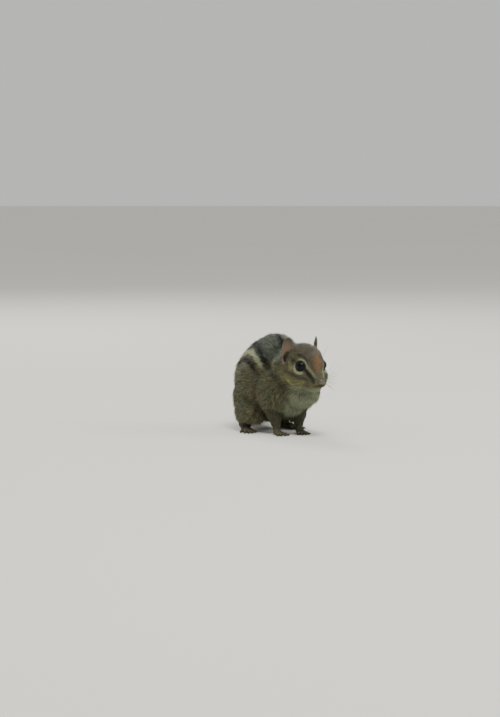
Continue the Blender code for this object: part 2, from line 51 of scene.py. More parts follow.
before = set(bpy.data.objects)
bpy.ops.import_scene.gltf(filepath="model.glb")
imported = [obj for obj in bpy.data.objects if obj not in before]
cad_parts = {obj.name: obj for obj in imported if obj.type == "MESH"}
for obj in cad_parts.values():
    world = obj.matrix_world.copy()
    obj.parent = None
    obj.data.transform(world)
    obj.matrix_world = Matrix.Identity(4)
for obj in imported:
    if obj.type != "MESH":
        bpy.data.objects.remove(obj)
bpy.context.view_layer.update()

MM = 0.001
FLESH = (
    "head", "neck", "torso", "thigh_left", "thigh_right", "foreleg_left", "foreleg_right", "ear_left", "ear_right",
)
FEET = ("forefoot_left", "forefoot_right", "hindfoot_left", "hindfoot_right")
SIDES = {"right": -1, "left": 1}
TRUNK_ZONES = ("back_left", "back_right", "flank_left", "flank_right", "haunch_left", "haunch_right", "chest")
ZONE = {name: number for number, name in enumerate((*TRUNK_ZONES, "head", "ears", "legs", "feet", "tail"))}

# Hairs, in millimetres where they are lengths
HAIR_FLATNESS = 0.55
FLOOR_GAP = 0.12
PATCH_SIZE = 0.003

# The head, as the solids have it
HEAD_CENTRE = Vector((2.9, -21.0, 49.4))
HEAD_YAW, HEAD_PITCH, HEAD_ROLL = 2.0, 16.0, -1.0
EYE_CENTRE = Vector((8.0, -5.35, 3.5))
EYE_AXIS = Vector((0.864, -0.459, 0.208)).normalized()
EYE_SINK = 0.2
LID_REACH = 4.1
EAR_BASE = Vector((9.4, 10.2, 2.6))
EAR_FACING, EAR_LEAN_OUT, EAR_LEAN_BACK = 58.0, -1.5, 12.0
NOSE_CENTRE = Vector((0.0, -20.7, -2.7))
NOSE_RADII = (2.5, 1.8, 1.9)
NOSE_FULLNESS = 1.1
MOUTH = ((0.0, -20.5, -7.4), (2.6, -18.8, -8.1), (4.6, -15.8, -8.6), (6.2, -12.6, -8.4), (7.4, -10.2, -7.4))

# A section of the lids, from inside the opening over the edge to the fold behind: degrees off its rim, and height
# over the ball
LID_SECTION = ((3.0, -0.5), (-2.6, -0.14), (-1.8, 0.05), (0.0, 0.14), (2.5, 0.20), (5.0, 0.19), (7.5, 0.12),
               (10.0, -0.04), (13.0, -0.35), (10.0, -0.5))

# How far over the eyeball the skin may stand, at so many degrees off the opening of the lids
LID_BED = ((-4.0, 0.0, 5.0, 10.0, 18.0, 28.0, 38.0, 50.0), (-0.3, -0.05, 0.55, 0.85, 1.25, 2.1, 3.4, 6.0))

# The feet and the tail, as the solids have them. Each toe has its turn in degrees, its set-back and its length.
FOREFOOT_HEADINGS = {-1: Vector((-0.06, -1.0, 0.0)), 1: Vector((-0.22, -1.0, 0.0))}
WRISTS = {-1: Vector((-10.2, 0.5, 0.0)), 1: Vector((7.8, 0.0, 0.0))}
HEELS = {-1: Vector((-15.5, 43.5, 0.0)), 1: Vector((13.5, 48.0, 0.0))}
HIND_FRONTS = {-1: Vector((-24.6, 18.5, 0.0)), 1: Vector((18.6, 23.5, 0.0))}
FORE_TOES = ((-18, 0.0, 4.9), (-5, 0.0, 5.9), (8, 0.0, 5.8), (21, 0.0, 4.7))
HIND_TOES = ((-19, 1.6, 5.6), (-8, 0.2, 7.3), (0, 0.0, 7.8), (8, 0.3, 7.2), (20, 2.0, 5.2))
SOLE_PRESS = 0.7
TAIL_PATH = (
    (0.0, 50.0, 13.6), (1.5, 58.0, 10.2), (5.5, 68.0, 7.2), (14.0, 85.0, 5.9), (23.5, 102.0, 5.3), (33.0, 119.0, 4.6),
)
TAIL_CORE = (3.6, 2.6)

# Stripes of the back. Each is an angle off straight up, about a line along the trunk, at stations along the body.
STATIONS = (0.0, 5.0, 9.0, 12.0, 16.0, 22.0, 31.0, 40.0, 50.0, 60.0)
CREAM_ANGLES = (62.0, 57.0, 52.0, 48.0, 44.5, 41.0, 37.5, 35.5, 33.0, 30.0)
UPPER_OFFSETS = (-12.0, -12.5, -12.5, -12.0, -12.0, -12.0, -13.0, -13.0, -13.0, -13.0)
LOWER_OFFSETS = (18.0, 18.0, 18.0, 17.0, 15.5, 13.5, 13.5, 13.0, 13.0, 13.0)
MIDLINE = ((0.0, 9.0, 15.0, 25.0, 60.0), (-1.5, -2.2, -1.0, 0.0, 0.0))
TRUNK_AXIS = ((-10.0, 30.0, 45.0, 62.0), (36.0, 36.0, 28.0, 18.0))

# Marks of the face, as lines in the head's frame on the animal's left, with each half width
BROW_PALE = (((7.4, -11.2, 5.6), (6.3, -12.5, 4.2), (4.9, -14.2, 2.5), (4.1, -17.0, 1.0), (3.6, -18.8, 0.0)), 0.85)
UNDER_EYE_WARM = (((12.6, 5.0, 1.6), (13.3, 0.6, 0.2)), 1.5)
EYE_DARK_FRONT = (((8.2, -9.9, 3.0), (7.6, -10.9, 2.0), (6.3, -12.9, 0.5), (5.8, -15.6, -0.6), (5.1, -18.5, -2.1),
                   (5.0, -19.4, -3.2)), 1.15)
EYE_DARK_BACK = (((12.0, -3.0, 5.8), (11.8, -0.6, 6.0), (12.0, 1.8, 6.0)), 0.85)
CHEEK_DARK = (((14.0, 6.5, -4.1), (14.7, -0.6, -2.9), (13.8, -5.7, -2.9), (11.9, -9.6, -3.4), (7.7, -12.6, -3.6)), 0.9)
BROW_DARK = (((9.4, -1.0, 10.9), (8.3, -3.2, 11.2), (7.5, -6.5, 10.6), (6.9, -9.9, 8.9)), 0.8)
BRIDGE_RUST = (((-0.8, -11.0, 11.4), (0.0, -13.3, 9.2), (0.0, -14.9, 6.6)), 2.4)
# Painted shade under the nose pad, where it overhangs the lip
UNDER_NOSE_SHADE = (((0.0, -21.6, -5.6), (2.1, -21.0, -6.2), (3.4, -19.6, -6.8)), 0.9)
NAPE_PALE = (((15.6, 20.0, -6.0), (15.4, 20.6, -2.5), (14.5, 18.9, 1.3), (12.1, 17.9, 4.5), (9.0, 17.8, 7.0)), 0.9)
CHEEK_OCHRE = (((13.5, 7.0, -10.0), (13.9, 0.0, -9.4), (9.3, -11.4, -7.0)), 1.9)
# The hollow in front of each ear: the skin is drawn into it, and painted shade lies in it
EAR_HOLLOW = (((13.4, 11.0, 2.0), (12.3, 11.2, 4.6), (11.3, 10.9, 7.0)), 1.4)
EAR_RIM = ((14.3, 14.3, 7.6), (14.1, 13.5, 4.6), (13.9, 12.5, 2.6), (13.9, 11.3, 1.3), (13.6, 10.1, 0.9))


def paint(red, green, blue):
    """A colour given as it looks on a screen, 0 to 255, in the linear values that shaders use."""
    return tuple(v / 255 / 12.92 if v <= 10 else ((v / 255 + 0.055) / 1.055) ** 2.4 for v in (red, green, blue))


# ---------------------------------------------------------------------------------------------------------------------
# Frames


def head_turn():
    """The matrix that carries the head's frame into the animal's."""
    turn = Matrix.Rotation(math.radians(HEAD_YAW), 4, "Z") @ Matrix.Rotation(math.radians(HEAD_PITCH), 4, "X")
    return Matrix.Translation(HEAD_CENTRE) @ turn @ Matrix.Rotation(math.radians(HEAD_ROLL), 4, "Y")


def paws_spot():
    """The origin of the animal's frame in the model's, in millimetres, found from where the left eye is."""
    low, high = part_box("eye_left")
    return (low + high) / 2 / MM - head_turn() @ EYE_CENTRE


ANIMAL = Matrix.Scale(MM, 4) @ Matrix.Translation(paws_spot())
HEAD = ANIMAL @ head_turn()


def mirrored(point, side):
    return Vector((point[0] * side, point[1], point[2]))


def laid_on_head(line, steps=6):
    """A line of the head's frame, cut finer and laid onto the outside of the head's solid."""
    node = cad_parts["head"]
    tree = BVHTree.FromPolygons([v.co for v in node.data.vertices], [list(p.vertices) for p in node.data.polygons])
    line = [Vector(point) for point in line]
    finer = [a.lerp(b, k / steps) for a, b in zip(line, line[1:]) for k in range(steps)] + line[-1:]
    inverse = HEAD.inverted()
    return tuple(tuple(inverse @ tree.find_nearest(HEAD @ point)[0]) for point in finer)


MOUTH_LINE = laid_on_head(MOUTH)


def carried(points, matrix):
    """An array of points carried by a matrix."""
    turn = np.array(matrix.to_3x3())
    return points @ turn.T + np.array(matrix.translation)


def in_animal(points):
    """Points of the model's frame as the animal's frame has them."""
    return carried(points, ANIMAL.inverted())


def in_head(animal):
    """Points of the animal's frame as the head's frame has them."""
    return carried(animal, head_turn().inverted())


def unit(vectors):
    return vectors / np.maximum(np.linalg.norm(vectors, axis=-1, keepdims=True), 1e-12)


def ramp(values, low, high):
    """0 at low, 1 at high, with an eased slope between them."""
    t = np.clip((np.asarray(values, float) - low) / (high - low), 0.0, 1.0)
    return t * t * (3 - 2 * t)


def blend_of(a, b, share):
    return a + (b - a) * share


def line_distance(points, line):
    """How far each point is from a line of straight pieces, and how far along the line that is, from 0 to 1."""
    line = np.array(line, float)
    best = np.full(len(points), 1e9)
    along = np.zeros(len(points))
    for k, (start, end) in enumerate(zip(line[:-1], line[1:])):
        run = end - start
        t = np.clip((points - start) @ run / (run @ run), 0.0, 1.0)
        far = np.linalg.norm(points - (start + t[:, None] * run), axis=1)
        nearer = far < best
        best[nearer] = far[nearer]
        along[nearer] = (k + t[nearer]) / (len(line) - 1)
    return best, along


# ---------------------------------------------------------------------------------------------------------------------
# Markings, shared by the skin and the coat


def both_sides(head):
    """Points of the head's frame folded over to the animal's left, since the face's marks are the same on both."""
    return np.column_stack((np.abs(head[:, 0]), head[:, 1], head[:, 2]))


def face_share(head):
    """1 on the head and 0 on the trunk, from where the point is in the head's frame."""
    return ramp(head[:, 1], 15.0, 9.0) * ramp(head[:, 2], -20.0, -15.5)


def body_stripes(animal):
    """Masks of the dark and cream stripes and of the grey band between them."""
    x, y, z = animal.T
    aside = x - np.interp(y, *MIDLINE)
    over = z - np.interp(y, *TRUNK_AXIS)
    round_angle = np.degrees(np.arctan2(np.abs(aside), over))
    radius = np.hypot(aside, over)
    cream_at = np.interp(y, STATIONS, CREAM_ANGLES)

    def band(angle, half, soft=2.8):
        return 1 - ramp(np.abs(round_angle - angle) * radius * math.pi / 180, half - soft / 2, half + soft / 2)

    rump_end = ramp(y, 62.0, 55.0)
    upper = band(cream_at + np.interp(y, STATIONS, UPPER_OFFSETS), 2.1) * ramp(y, 3.0, 8.0) * rump_end
    lower = band(cream_at + np.interp(y, STATIONS, LOWER_OFFSETS), 2.1) * ramp(y, 10.0, 16.0) * rump_end
    middle = (1 - ramp(np.abs(aside), 1.3, 3.0)) * ramp(y, -6.0, 2.0) * rump_end * ramp(z, 40.0, 46.0)
    cream = band(cream_at, 1.8, 1.6) * ramp(y, 7.0, 13.0) * rump_end
    narrower = 24.0 * ramp(y, 15.0, 3.0)
    inside = 1 - ramp(round_angle - cream_at + narrower, -9.0, -1.0)
    grey = inside * ramp(y, -12.0, -4.0) * ramp(y, 60.0, 46.0) * ramp(over, 2.0, 8.0)
    return np.maximum(np.maximum(upper, lower), middle), cream, grey


def eye_axes(side):
    """An eye's own axes in the head's frame: away from the nose, up, and out of the pupil."""
    axis = mirrored(EYE_AXIS, side)
    away = Vector((0, 0, 1)).cross(axis).normalized() * side
    return away, axis.cross(away).normalized() * side, axis


def eye_places(folded):
    """Points as the left eye has them: degrees off its axis, degrees round it (0 away from the nose, 90 up), reach."""
    own = (folded - np.array(eye_middle(1))) @ np.array(eye_axes(1)).T
    reach = np.linalg.norm(own, axis=1)
    polar = np.degrees(np.arccos(np.clip(own[:, 2] / np.maximum(reach, 1e-9), -1, 1)))
    return polar, np.degrees(np.arctan2(own[:, 1], own[:, 0])), reach


def off_lids(polar, turn, reach):
    """How far points are outside the opening of the lids, seen along the eye's axis, in millimetres."""
    opening = np.radians(lid_opening(np.radians(turn), bpy.context.scene.chipmunk_body))
    return reach * np.sin(np.radians(polar)) - LID_REACH * np.sin(opening)


def eye_ring(folded):
    """The pale ring round an eye, widest under it and open at both corners, and the dark rim along the lids."""
    polar, turn, reach = eye_places(folded)
    edge = off_lids(polar, turn, reach)
    near = ramp(reach * np.cos(np.radians(polar)), -3.0, -1.5)
    under = ramp(np.cos(np.radians(turn + 60.0)), -0.1, 0.45)
    half = 0.26 + 0.42 * under
    ring = (1 - ramp(np.abs(edge - 1.85), half, half + 0.5)) * near * (0.54 + 0.16 * under)
    ring = ring * (1 - 0.85 * ramp(np.cos(np.radians(turn - 25.0)), 0.8, 0.95))
    ring = ring * (1 - ramp(np.cos(np.radians(turn + 150.0)), 0.86, 0.97))
    return ring, ramp(edge, 0.95, 0.6) * near


def near_line(folded, line_and_half, outside, inside=None):
    """1 on a marked line, fading from so far inside its half width to so far outside it; and how far along."""
    far, along = line_distance(folded, line_and_half[0])
    half = line_and_half[1]
    return 1 - ramp(far, half - (outside / 2 if inside is None else inside), half + outside), along


def face_marks(head):
    """Masks of the face: dark, pale, rusty, ochre and mauve."""
    folded = both_sides(head)
    brow_pale, brow_along = near_line(folded, BROW_PALE, 0.9)
    under_warm, _ = near_line(folded, UNDER_EYE_WARM, 1.6)
    front_dark, front_along = near_line(folded, EYE_DARK_FRONT, 0.9)
    back_dark, _ = near_line(folded, EYE_DARK_BACK, 0.9)
    cheek_dark, _ = near_line(folded, CHEEK_DARK, 1.1)
    brow_dark, brow_dark_along = near_line(folded, BROW_DARK, 0.9)
    rust, _ = near_line(folded, BRIDGE_RUST, 4.0)
    under_nose_shade, under_along = near_line(folded, UNDER_NOSE_SHADE, 1.7)
    ochre, _ = near_line(folded, CHEEK_OCHRE, 2.8)
    mouth, mouth_along = line_distance(folded, MOUTH_LINE)
    lip_rust = 1 - ramp(line_distance(folded, MOUTH_LINE[:10])[0], 0.6, 2.2)
    ring, lid_rim = eye_ring(folded)
    # Painted shade under the nose and in the crease of the mouth joins the face's own dark stripes and the dark rims of
    # the lids
    dark = np.maximum.reduce((
        front_dark * (0.85 - 0.25 * front_along), back_dark * 0.62, cheek_dark * 0.5,
        brow_dark * (0.68 - 0.3 * brow_dark_along), under_nose_shade * (0.9 - 0.4 * under_along),
        (1 - ramp(mouth, 0.3, 0.9)) * (0.9 - 0.5 * mouth_along), lid_rim,
    ))
    pale = np.maximum(ring, brow_pale * (0.62 - 0.3 * brow_along))
    dark = dark * (1 - 0.85 * ring)
    mauve = ramp(folded[:, 2], 0.5, 6.0) * (1 - ramp(folded[:, 0], 5.0, 9.5)) * ramp(folded[:, 1], 12.0, 4.0)
    return dark, pale, np.maximum(rust, 0.55 * lip_rust), np.maximum(ochre, under_warm * 0.8), mauve


def ear_marks(head, normal, ears):
    """Masks of the ears: the pink inside, what is dark, what is pale, and the part of the rim where no dark shows."""
    folded = both_sides(head)
    facing = ear_facing(head, normal)
    across, _, up = ear_places(head).T
    pink = ears * ramp(facing, -0.15, 0.35) * ramp(up + 0.6 * np.abs(across - 0.5), 17.0, 9.0)
    # The hollow before the ear, dark with painted shade
    hollow, along = near_line(folded, EAR_HOLLOW, 1.2, 0.5)
    rim = ears * (1 - ramp(np.abs(facing), 0.35, 0.75)) * ramp(up, 2.0, 6.0)
    rim_far = line_distance(folded, EAR_RIM)[0]
    # Along the front rim, a painted shadow; the darker top of the inner face is its own colour
    dark = np.maximum.reduce((hollow * (1.0 - 0.25 * along), 0.5 * rim * ramp(across, 2.0, 0.0),
                              0.3 * ears * ramp(facing, 0.0, 0.4) * ramp(up, 11.0, 17.0)))
    pale = np.maximum(0.75 * rim * ramp(across, 1.0, 3.0), 0.7 * ramp(rim_far, 0.9, 0.5) * ears)
    return pink, dark, pale, ramp(rim_far, 1.0, 0.6) * ears


def chest_pale(animal, normal, trunk):
    """The mask of the pale chest and belly: what faces forward and down, low on the trunk."""
    x, y, z = animal.T
    front = -0.8 * normal[:, 1] + 0.25 * np.sign(x - 1.5) * normal[:, 0]
    under = ramp(front * ramp(y, 4.0, -8.0) - 0.6 * normal[:, 2], 0.42, 0.85)
    middle = ramp(np.abs(x - 2.0), 13.0, 8.0)
    return under * trunk * ramp(z, 44.0, 30.0) * np.maximum(middle, ramp(-normal[:, 2], 0.3, 0.7))


def markings(animal, normal, zone):
    """Every mask of the coat at points on its outside: three arrays of three masks each."""
    head = in_head(animal)
    face = face_share(head)
    legs, feet, tail, ears = (zone == ZONE[name] for name in ("legs", "feet", "tail", "ears"))
    trunk = ~tail * ~feet * ~legs * (1 - face)
    skull = face * (zone == ZONE["head"])
    stripes, cream, grey = body_stripes(animal)
    face_dark, face_pale, face_rust, ochre, mauve = face_marks(head)
    pink, ears_dark, ears_pale, bare_rim = ear_marks(head, normal, ears)
    grey = grey * trunk
    cream = np.maximum(cream * trunk, face_pale * skull)
    dark = np.maximum.reduce((stripes * trunk, face_dark * skull, 0.3 * legs + 0.12 * feet, ears_dark))
    dark = dark * (1 - 0.8 * bare_rim)
    rump = 0.42 * ramp(animal[:, 1], 46.0, 62.0) * trunk * (1 - 0.7 * cream) * (1 - 0.6 * grey)
    rust = np.maximum(0.8 * face_rust * skull, rump)
    jaw = ramp(-head[:, 2] - 0.25 * head[:, 1], 12.0, 15.0) * skull
    lips = ramp(head[:, 1], -11.0, -15.0) * ramp(head[:, 2], -9.2, -10.4) * skull
    nape = near_line(both_sides(head), NAPE_PALE, 1.4, 0.4)[0] * ~ears
    pale = np.maximum.reduce((chest_pale(animal, normal, trunk), jaw, lips * 0.8,
                              legs * 0.2 * ramp(normal[:, 1], 0.1, -0.6), ears_pale, 0.85 * nape))
    ochre = np.maximum(ochre * skull, 0.35 * ramp(head[:, 2], 0.0, -6.0) * skull)
    return (
        np.column_stack((dark, cream, grey)),
        np.column_stack((rust, pale, ochre)),
        np.column_stack((np.maximum(pink, 0.3 * feet), tail * 1.0, np.maximum(mauve * skull, 0.85 * ears))),
    )


def ear_turn(side):
    """How an ear stands in the head's frame: its X across the cup, its -Y out of the cup, its Z to the tip."""
    turn = Matrix.Rotation(math.radians(side * EAR_LEAN_OUT), 4, "Y")
    turn = turn @ Matrix.Rotation(math.radians(-EAR_LEAN_BACK), 4, "X")
    return turn @ Matrix.Rotation(math.radians(side * EAR_FACING), 4, "Z")


def ear_places(head):
    """Points in an ear's own frame: X across the cup with its hind rim positive, Z from its base to its tip."""
    places = []
    for side in (1, -1):
        frame_of_ear = Matrix.Translation(mirrored(EAR_BASE, side)) @ ear_turn(side)
        own = carried(head, frame_of_ear.inverted())
        own[:, 0] *= side
        places.append(own)
    return np.where(head[:, :1] > 0, places[0], places[1])


def ear_facing(head, normal):
    """How squarely each point of an ear faces out of the ear's cup."""
    own = normal @ np.array(head_turn().to_3x3())
    left = own @ np.array(ear_turn(1).to_3x3() @ Vector((0, -1, 0)))
    right = own @ np.array(ear_turn(-1).to_3x3() @ Vector((0, -1, 0)))
    return np.where(head[:, 0] > 0, left, right)


# ---------------------------------------------------------------------------------------------------------------------
# Meshes


def linked(name, mesh):
    obj = bpy.data.objects.new(name, mesh)
    bpy.context.scene.collection.objects.link(obj)
    return obj


def from_bmesh(name, bm):
    """The object of a mesh under construction, with its faces shaded smooth."""
    mesh = bpy.data.meshes.new(name)
    bm.to_mesh(mesh)
    bm.free()
    shade_smooth(mesh)
    return linked(name, mesh)


def settled(obj):
    """The object with its modifiers applied."""
    bpy.context.view_layer.update()
    graph = bpy.context.evaluated_depsgraph_get()
    old = obj.data
    obj.data = bpy.data.meshes.new_from_object(obj.evaluated_get(graph))
    obj.modifiers.clear()
    bpy.data.meshes.remove(old)
    return obj


def dressed(obj, material):
    """Gives a piece its material and its place on the body."""
    obj.data.materials.clear()
    obj.data.materials.append(material)
    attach(obj, "root")
    return obj


def move_points(mesh, points):
    mesh.vertices.foreach_set("co", points.astype(np.float32).ravel())
    mesh.update()


def shade_smooth(mesh):
    mesh.polygons.foreach_set("use_smooth", np.ones(len(mesh.polygons), bool))


def array_of(collection, key, width):
    values = np.empty(len(collection) * width, np.float32)
    collection.foreach_get(key, values)
    return values.reshape(-1, width).astype(float) if width > 1 else values.astype(float)


def edge_pairs(mesh):
    pairs = np.empty(len(mesh.edges) * 2, np.int32)
    mesh.edges.foreach_get("vertices", pairs)
    return pairs.reshape(-1, 2)


def keep_vectors(mesh, name, values):
    mesh.attributes.new(name, "FLOAT_VECTOR", "POINT").data.foreach_set("vector", values.astype(np.float32).ravel())


def keep_marks(mesh, marks):
    for name, values in zip(("marks_a", "marks_b", "marks_c"), marks):
        keep_vectors(mesh, name, values)


def beads(bm, path, radii, matrix=Matrix(), step=0.35):
    """A chain of balls so close that, once fused, they are one smooth limb."""
    path = [Vector(p) for p in path]
    for (start, end), (first, last) in zip(zip(path, path[1:]), zip(radii, radii[1:])):
        count = max(1, math.ceil((end - start).length / (step * min(first, last) + 0.2)))
        for k in range(count + 1):
            radius = first + (last - first) * k / count
            place = matrix @ Matrix.Translation(start.lerp(end, k / count))
            bmesh.ops.create_icosphere(bm, subdivisions=2, radius=radius, matrix=place)


def ball(bm, centre, radii, matrix=Matrix()):
    place = matrix @ Matrix.Translation(centre) @ Matrix.Diagonal((*radii, 1.0))
    bmesh.ops.create_uvsphere(bm, u_segments=28, v_segments=16, radius=1.0, matrix=place)


# ---------------------------------------------------------------------------------------------------------------------
# Feet: where each toe starts, heads and ends. The skin and the claws both read these.


def forefoot(side):
    """A forefoot's wrist on the floor, the way it heads and the middle of its palm."""
    heading = FOREFOOT_HEADINGS[side].normalized()
    return WRISTS[side], heading, WRISTS[side] + heading * 3.6


def hind_foot(side):
    """A hind foot's heel on the floor, the way it heads, its front and the ball of the foot behind that."""
    heel, front = HEELS[side], HIND_FRONTS[side]
    heading = (front - heel).normalized()
    return heel, heading, front, front - heading * 7.2


def toes_of(side, heading, middle, shapes, apart, ahead, height, radius):
    """The toes of a foot: for each the point where it starts, its direction, its length and its radius."""
    across = Vector((-heading.y, heading.x, 0)) * side
    toes = []
    for k, (spread, back, length) in enumerate(shapes):
        direction = Matrix.Rotation(math.radians(spread * side), 3, "Z") @ heading
        aside = across * (k - (len(shapes) - 1) / 2) * apart
        toes.append((middle + aside + heading * (ahead - back) + Vector((0, 0, height)), direction, length, radius))
    return toes


def all_toes(side):
    _, heading, palm = forefoot(side)
    fore = toes_of(side, heading, palm, FORE_TOES, 1.65, 2.2, 1.55, 1.02)
    _, heading, _, ball_of_foot = hind_foot(side)
    return fore + toes_of(side, heading, ball_of_foot, HIND_TOES, 1.7, 3.2, 1.6, 1.05)


def toe_flesh(bm, knuckle, direction, length, radius):
    """A toe that rises over its middle joint and comes down to a round pad, with a waist before the pad."""
    path, sizes = [], []
    for k in range(9):
        t = k / 8
        rise = 0.95 * math.sin(math.pi * t) - 0.35 * t - SOLE_PRESS
        path.append(knuckle + direction * length * t + Vector((0, 0, rise)))
        sizes.append(radius * (1.1 - 0.34 * t + 0.2 * math.exp(-((t - 0.5) / 0.14) ** 2) * 0.5
                               + 0.28 * math.exp(-((t - 1.0) / 0.12) ** 2)))
    beads(bm, path, sizes)


def foot_flesh(bm):
    """The flesh of the four feet: palms, wrists, heels and soles as balls and chains, and every toe."""
    drop = Matrix.Translation((0, 0, -SOLE_PRESS))
    for side in (-1, 1):
        wrist, _, palm = forefoot(side)
        beads(bm, (wrist + Vector((0, 1.2, 9)), wrist + Vector((0, 1.0, 5)), wrist + Vector((0, 0, 2.4))),
              (3.2, 2.9, 2.7), drop)
        ball(bm, palm + Vector((0, 0, 2.2)), (3.5, 4.4, 2.0), drop)
        ball(bm, wrist + Vector((0, 0.3, 2.3)), (2.7, 3.0, 2.4), drop)
        heel, heading, front, ball_of_foot = hind_foot(side)
        length = (front - heel).length
        sole = [heel + heading * t + Vector((0, 0, z))
                for t, z in ((-1.5, 2.9), (4, 3.2), (11, 2.9), (length - 8, 2.4))]
        beads(bm, sole, (2.6, 3.2, 3.1, 3.0), drop)
        ball(bm, heel + Vector((0, 0, 3.4)), (3.4, 4.6, 3.6), drop)
        ball(bm, heel + heading * 7 + Vector((0, 0, 5.2)), (4.4, 7.0, 4.2), drop)
        ball(bm, ball_of_foot + Vector((0, 0, 2.2)), (4.7, 5.0, 2.1), drop)
        for toe in all_toes(side):
            toe_flesh(bm, *toe)


# ---------------------------------------------------------------------------------------------------------------------
# Skin


def tail_line(steps=8):
    """Points along the middle of the tail."""
    points = np.array(TAIL_PATH)
    share = np.linspace(0, len(points) - 1, (len(points) - 1) * steps + 1)
    smooth = np.column_stack([np.interp(share, range(len(points)), points[:, k]) for k in range(3)])
    for _ in range(steps):
        smooth[1:-1] = (smooth[:-2] + 2 * smooth[1:-1] + smooth[2:]) / 4
    return smooth


def tail_size(share):
    """Half the width and half the height of the tail's flesh, at a share of its length."""
    slim = 1.0 - 0.66 * np.asarray(share) ** 1.4
    return TAIL_CORE[0] * slim, TAIL_CORE[1] * slim


def grown_copy(bm, name, outward):
    """Adds a closed copy of a node's solid, grown so far outward that it overlaps its neighbours."""
    part = bmesh.new()
    part.from_mesh(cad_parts[name].data)
    bmesh.ops.remove_doubles(part, verts=part.verts, dist=1e-6)
    part.normal_update()
    for vert in part.verts:
        vert.co += vert.normal * outward
    mesh = bpy.data.meshes.new("part")
    part.to_mesh(mesh)
    part.free()
    bm.from_mesh(mesh)
    bpy.data.meshes.remove(mesh)


def fused_flesh(settings):
    """All the flesh as one closed surface, out to the outside of the coat."""
    bm = bmesh.new()
    foot_flesh(bm)
    line = tail_line()
    wide, high = tail_size(np.linspace(0, 1, len(line)))
    beads(bm, [Vector(p) for p in line], [float(v) for v in (wide + high) / 2], step=0.5)
    for side in (-1, 1):
        beads(bm, [head_turn() @ mirrored(point, side) for point in EAR_RIM], (0.55, 0.6, 0.62, 0.6, 0.5))
        # A ball fills each eye's socket, so that the skin runs on under the lids in one layer
        ball(bm, head_turn() @ eye_middle(side), [LID_REACH] * 3)
    bmesh.ops.transform(bm, matrix=ANIMAL, verts=bm.verts)
    for name in FLESH:
        grown_copy(bm, name, settings.seam_overlap)
    obj = from_bmesh("skin", bm)
    remesh = obj.modifiers.new("fuse", "REMESH")
    remesh.mode = "VOXEL"
    remesh.voxel_size = settings.skin_grain
    smooth = obj.modifiers.new("smooth", "SMOOTH")
    smooth.factor = 0.5
    smooth.iterations = 5
    settled(obj)
    # The trunk is under deep hair, so its grain is let out; the head, legs, feet and tail keep theirs
    under_hair = obj.vertex_groups.new(name="under hair")
    animal = in_animal(array_of(obj.data.vertices, "co", 3))
    head = in_head(animal)
    plain = (animal[:, 2] > 14.0) & (animal[:, 1] < 56.0) & (head[:, 1] > 14.0)
    under_hair.add(np.flatnonzero(plain).tolist(), 1.0, "REPLACE")
    thin = obj.modifiers.new("thin", "DECIMATE")
    thin.ratio = 1.0 - (1.0 - settings.grain_kept) * plain.mean()
    thin.vertex_group = "under hair"
    settled(obj)
    obj.vertex_groups.clear()
    return obj


def zone_numbers(outer):
    """The zone that each point of the skin is in, from the nearest solid and where the point is."""
    verts, faces, owners = [], [], []
    for name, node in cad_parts.items():
        base = len(verts)
        verts += [v.co for v in node.data.vertices]
        faces += [[base + i for i in p.vertices] for p in node.data.polygons]
        owners += [name] * len(node.data.polygons)
    tree = BVHTree.FromPolygons(verts, faces)
    animal = in_animal(outer)
    head = both_sides(in_head(animal))
    on_rim = line_distance(head, EAR_RIM)[0] < 1.15
    zones = np.zeros(len(outer), int)
    for i, point in enumerate(outer):
        owner = owners[tree.find_nearest(Vector(point))[2]]
        x, y, z = animal[i]
        side = "left" if x > 0 else "right"
        if owner.startswith("ear") or on_rim[i]:
            zones[i] = ZONE["ears"]
        elif owner in ("head", "nose") or owner.startswith("eye"):
            zones[i] = ZONE["head"]
        elif owner in FEET:
            zones[i] = ZONE["feet"]
        elif owner.startswith("foreleg"):
            zones[i] = ZONE["legs"]
        elif owner == "tail" and y > 58:
            zones[i] = ZONE["tail"]
        elif y < 6 - 0.25 * (z - 30) and z < 52:
            zones[i] = ZONE["chest"]
        elif z > 48 - 0.2 * max(0.0, y - 30):
            zones[i] = ZONE["back_" + side]
        elif y > 30:
            zones[i] = ZONE["haunch_" + side]
        else:
            zones[i] = ZONE["flank_" + side]
    return zones


def spread_out(values, edges, rounds):
    """Values at points, evened out over the edges between them so many times."""
    values = values.astype(float).copy()
    counts = np.bincount(edges.ravel(), minlength=len(values)).astype(float)
    for _ in range(rounds):
        total = np.bincount(edges[:, 0], values[edges[:, 1]], len(values))
        total += np.bincount(edges[:, 1], values[edges[:, 0]], len(values))
        values = 0.5 * values + 0.5 * total / np.maximum(counts, 1)
    return values


def coat_depths(animal, normals, zones, edges, settings):
    """How deep the coat is over each point of the skin, in millimetres."""
    head = in_head(animal)
    face = face_share(head)
    short = np.interp(head[:, 1], (-22.0, -16.0, -9.0, 0.0, 12.0), (0.30, 0.42, 0.75, 1.15, 2.0))
    depth = blend_of(settings.body_depth, short, face)
    depth = np.where(zones == ZONE["legs"], np.interp(animal[:, 2], (8.0, 20.0), (0.7, 1.6)), depth)
    facing = ear_facing(head, normals)
    depth = np.where(zones == ZONE["ears"], blend_of(0.2, 0.05, ramp(facing, -0.2, 0.3)), depth)
    depth = np.where(zones == ZONE["feet"], np.interp(animal[:, 2], (1.0, 3.5, 7.0), (0.2, 0.32, 0.6)), depth)
    depth = np.where(zones == ZONE["tail"], 0.1, depth)
    depth = spread_out(depth, edges, 14)
    folded = both_sides(head)
    polar, _, reach = eye_places(folded)
    depth = depth * blend_of(0.12, 1.0, np.maximum(ramp(polar, 68.0, 105.0), ramp(reach, 6.0, 9.0)))
    ear_far = np.minimum(line_distance(folded, EAR_RIM)[0], line_distance(folded, EAR_HOLLOW[0])[0])
    depth = depth * blend_of(0.12, 1.0, ramp(ear_far, 1.2, 4.5))
    nose_far = np.linalg.norm(head - np.array(NOSE_CENTRE), axis=1)
    return depth * blend_of(0.4, 1.0, ramp(nose_far, 2.5, 5.0))


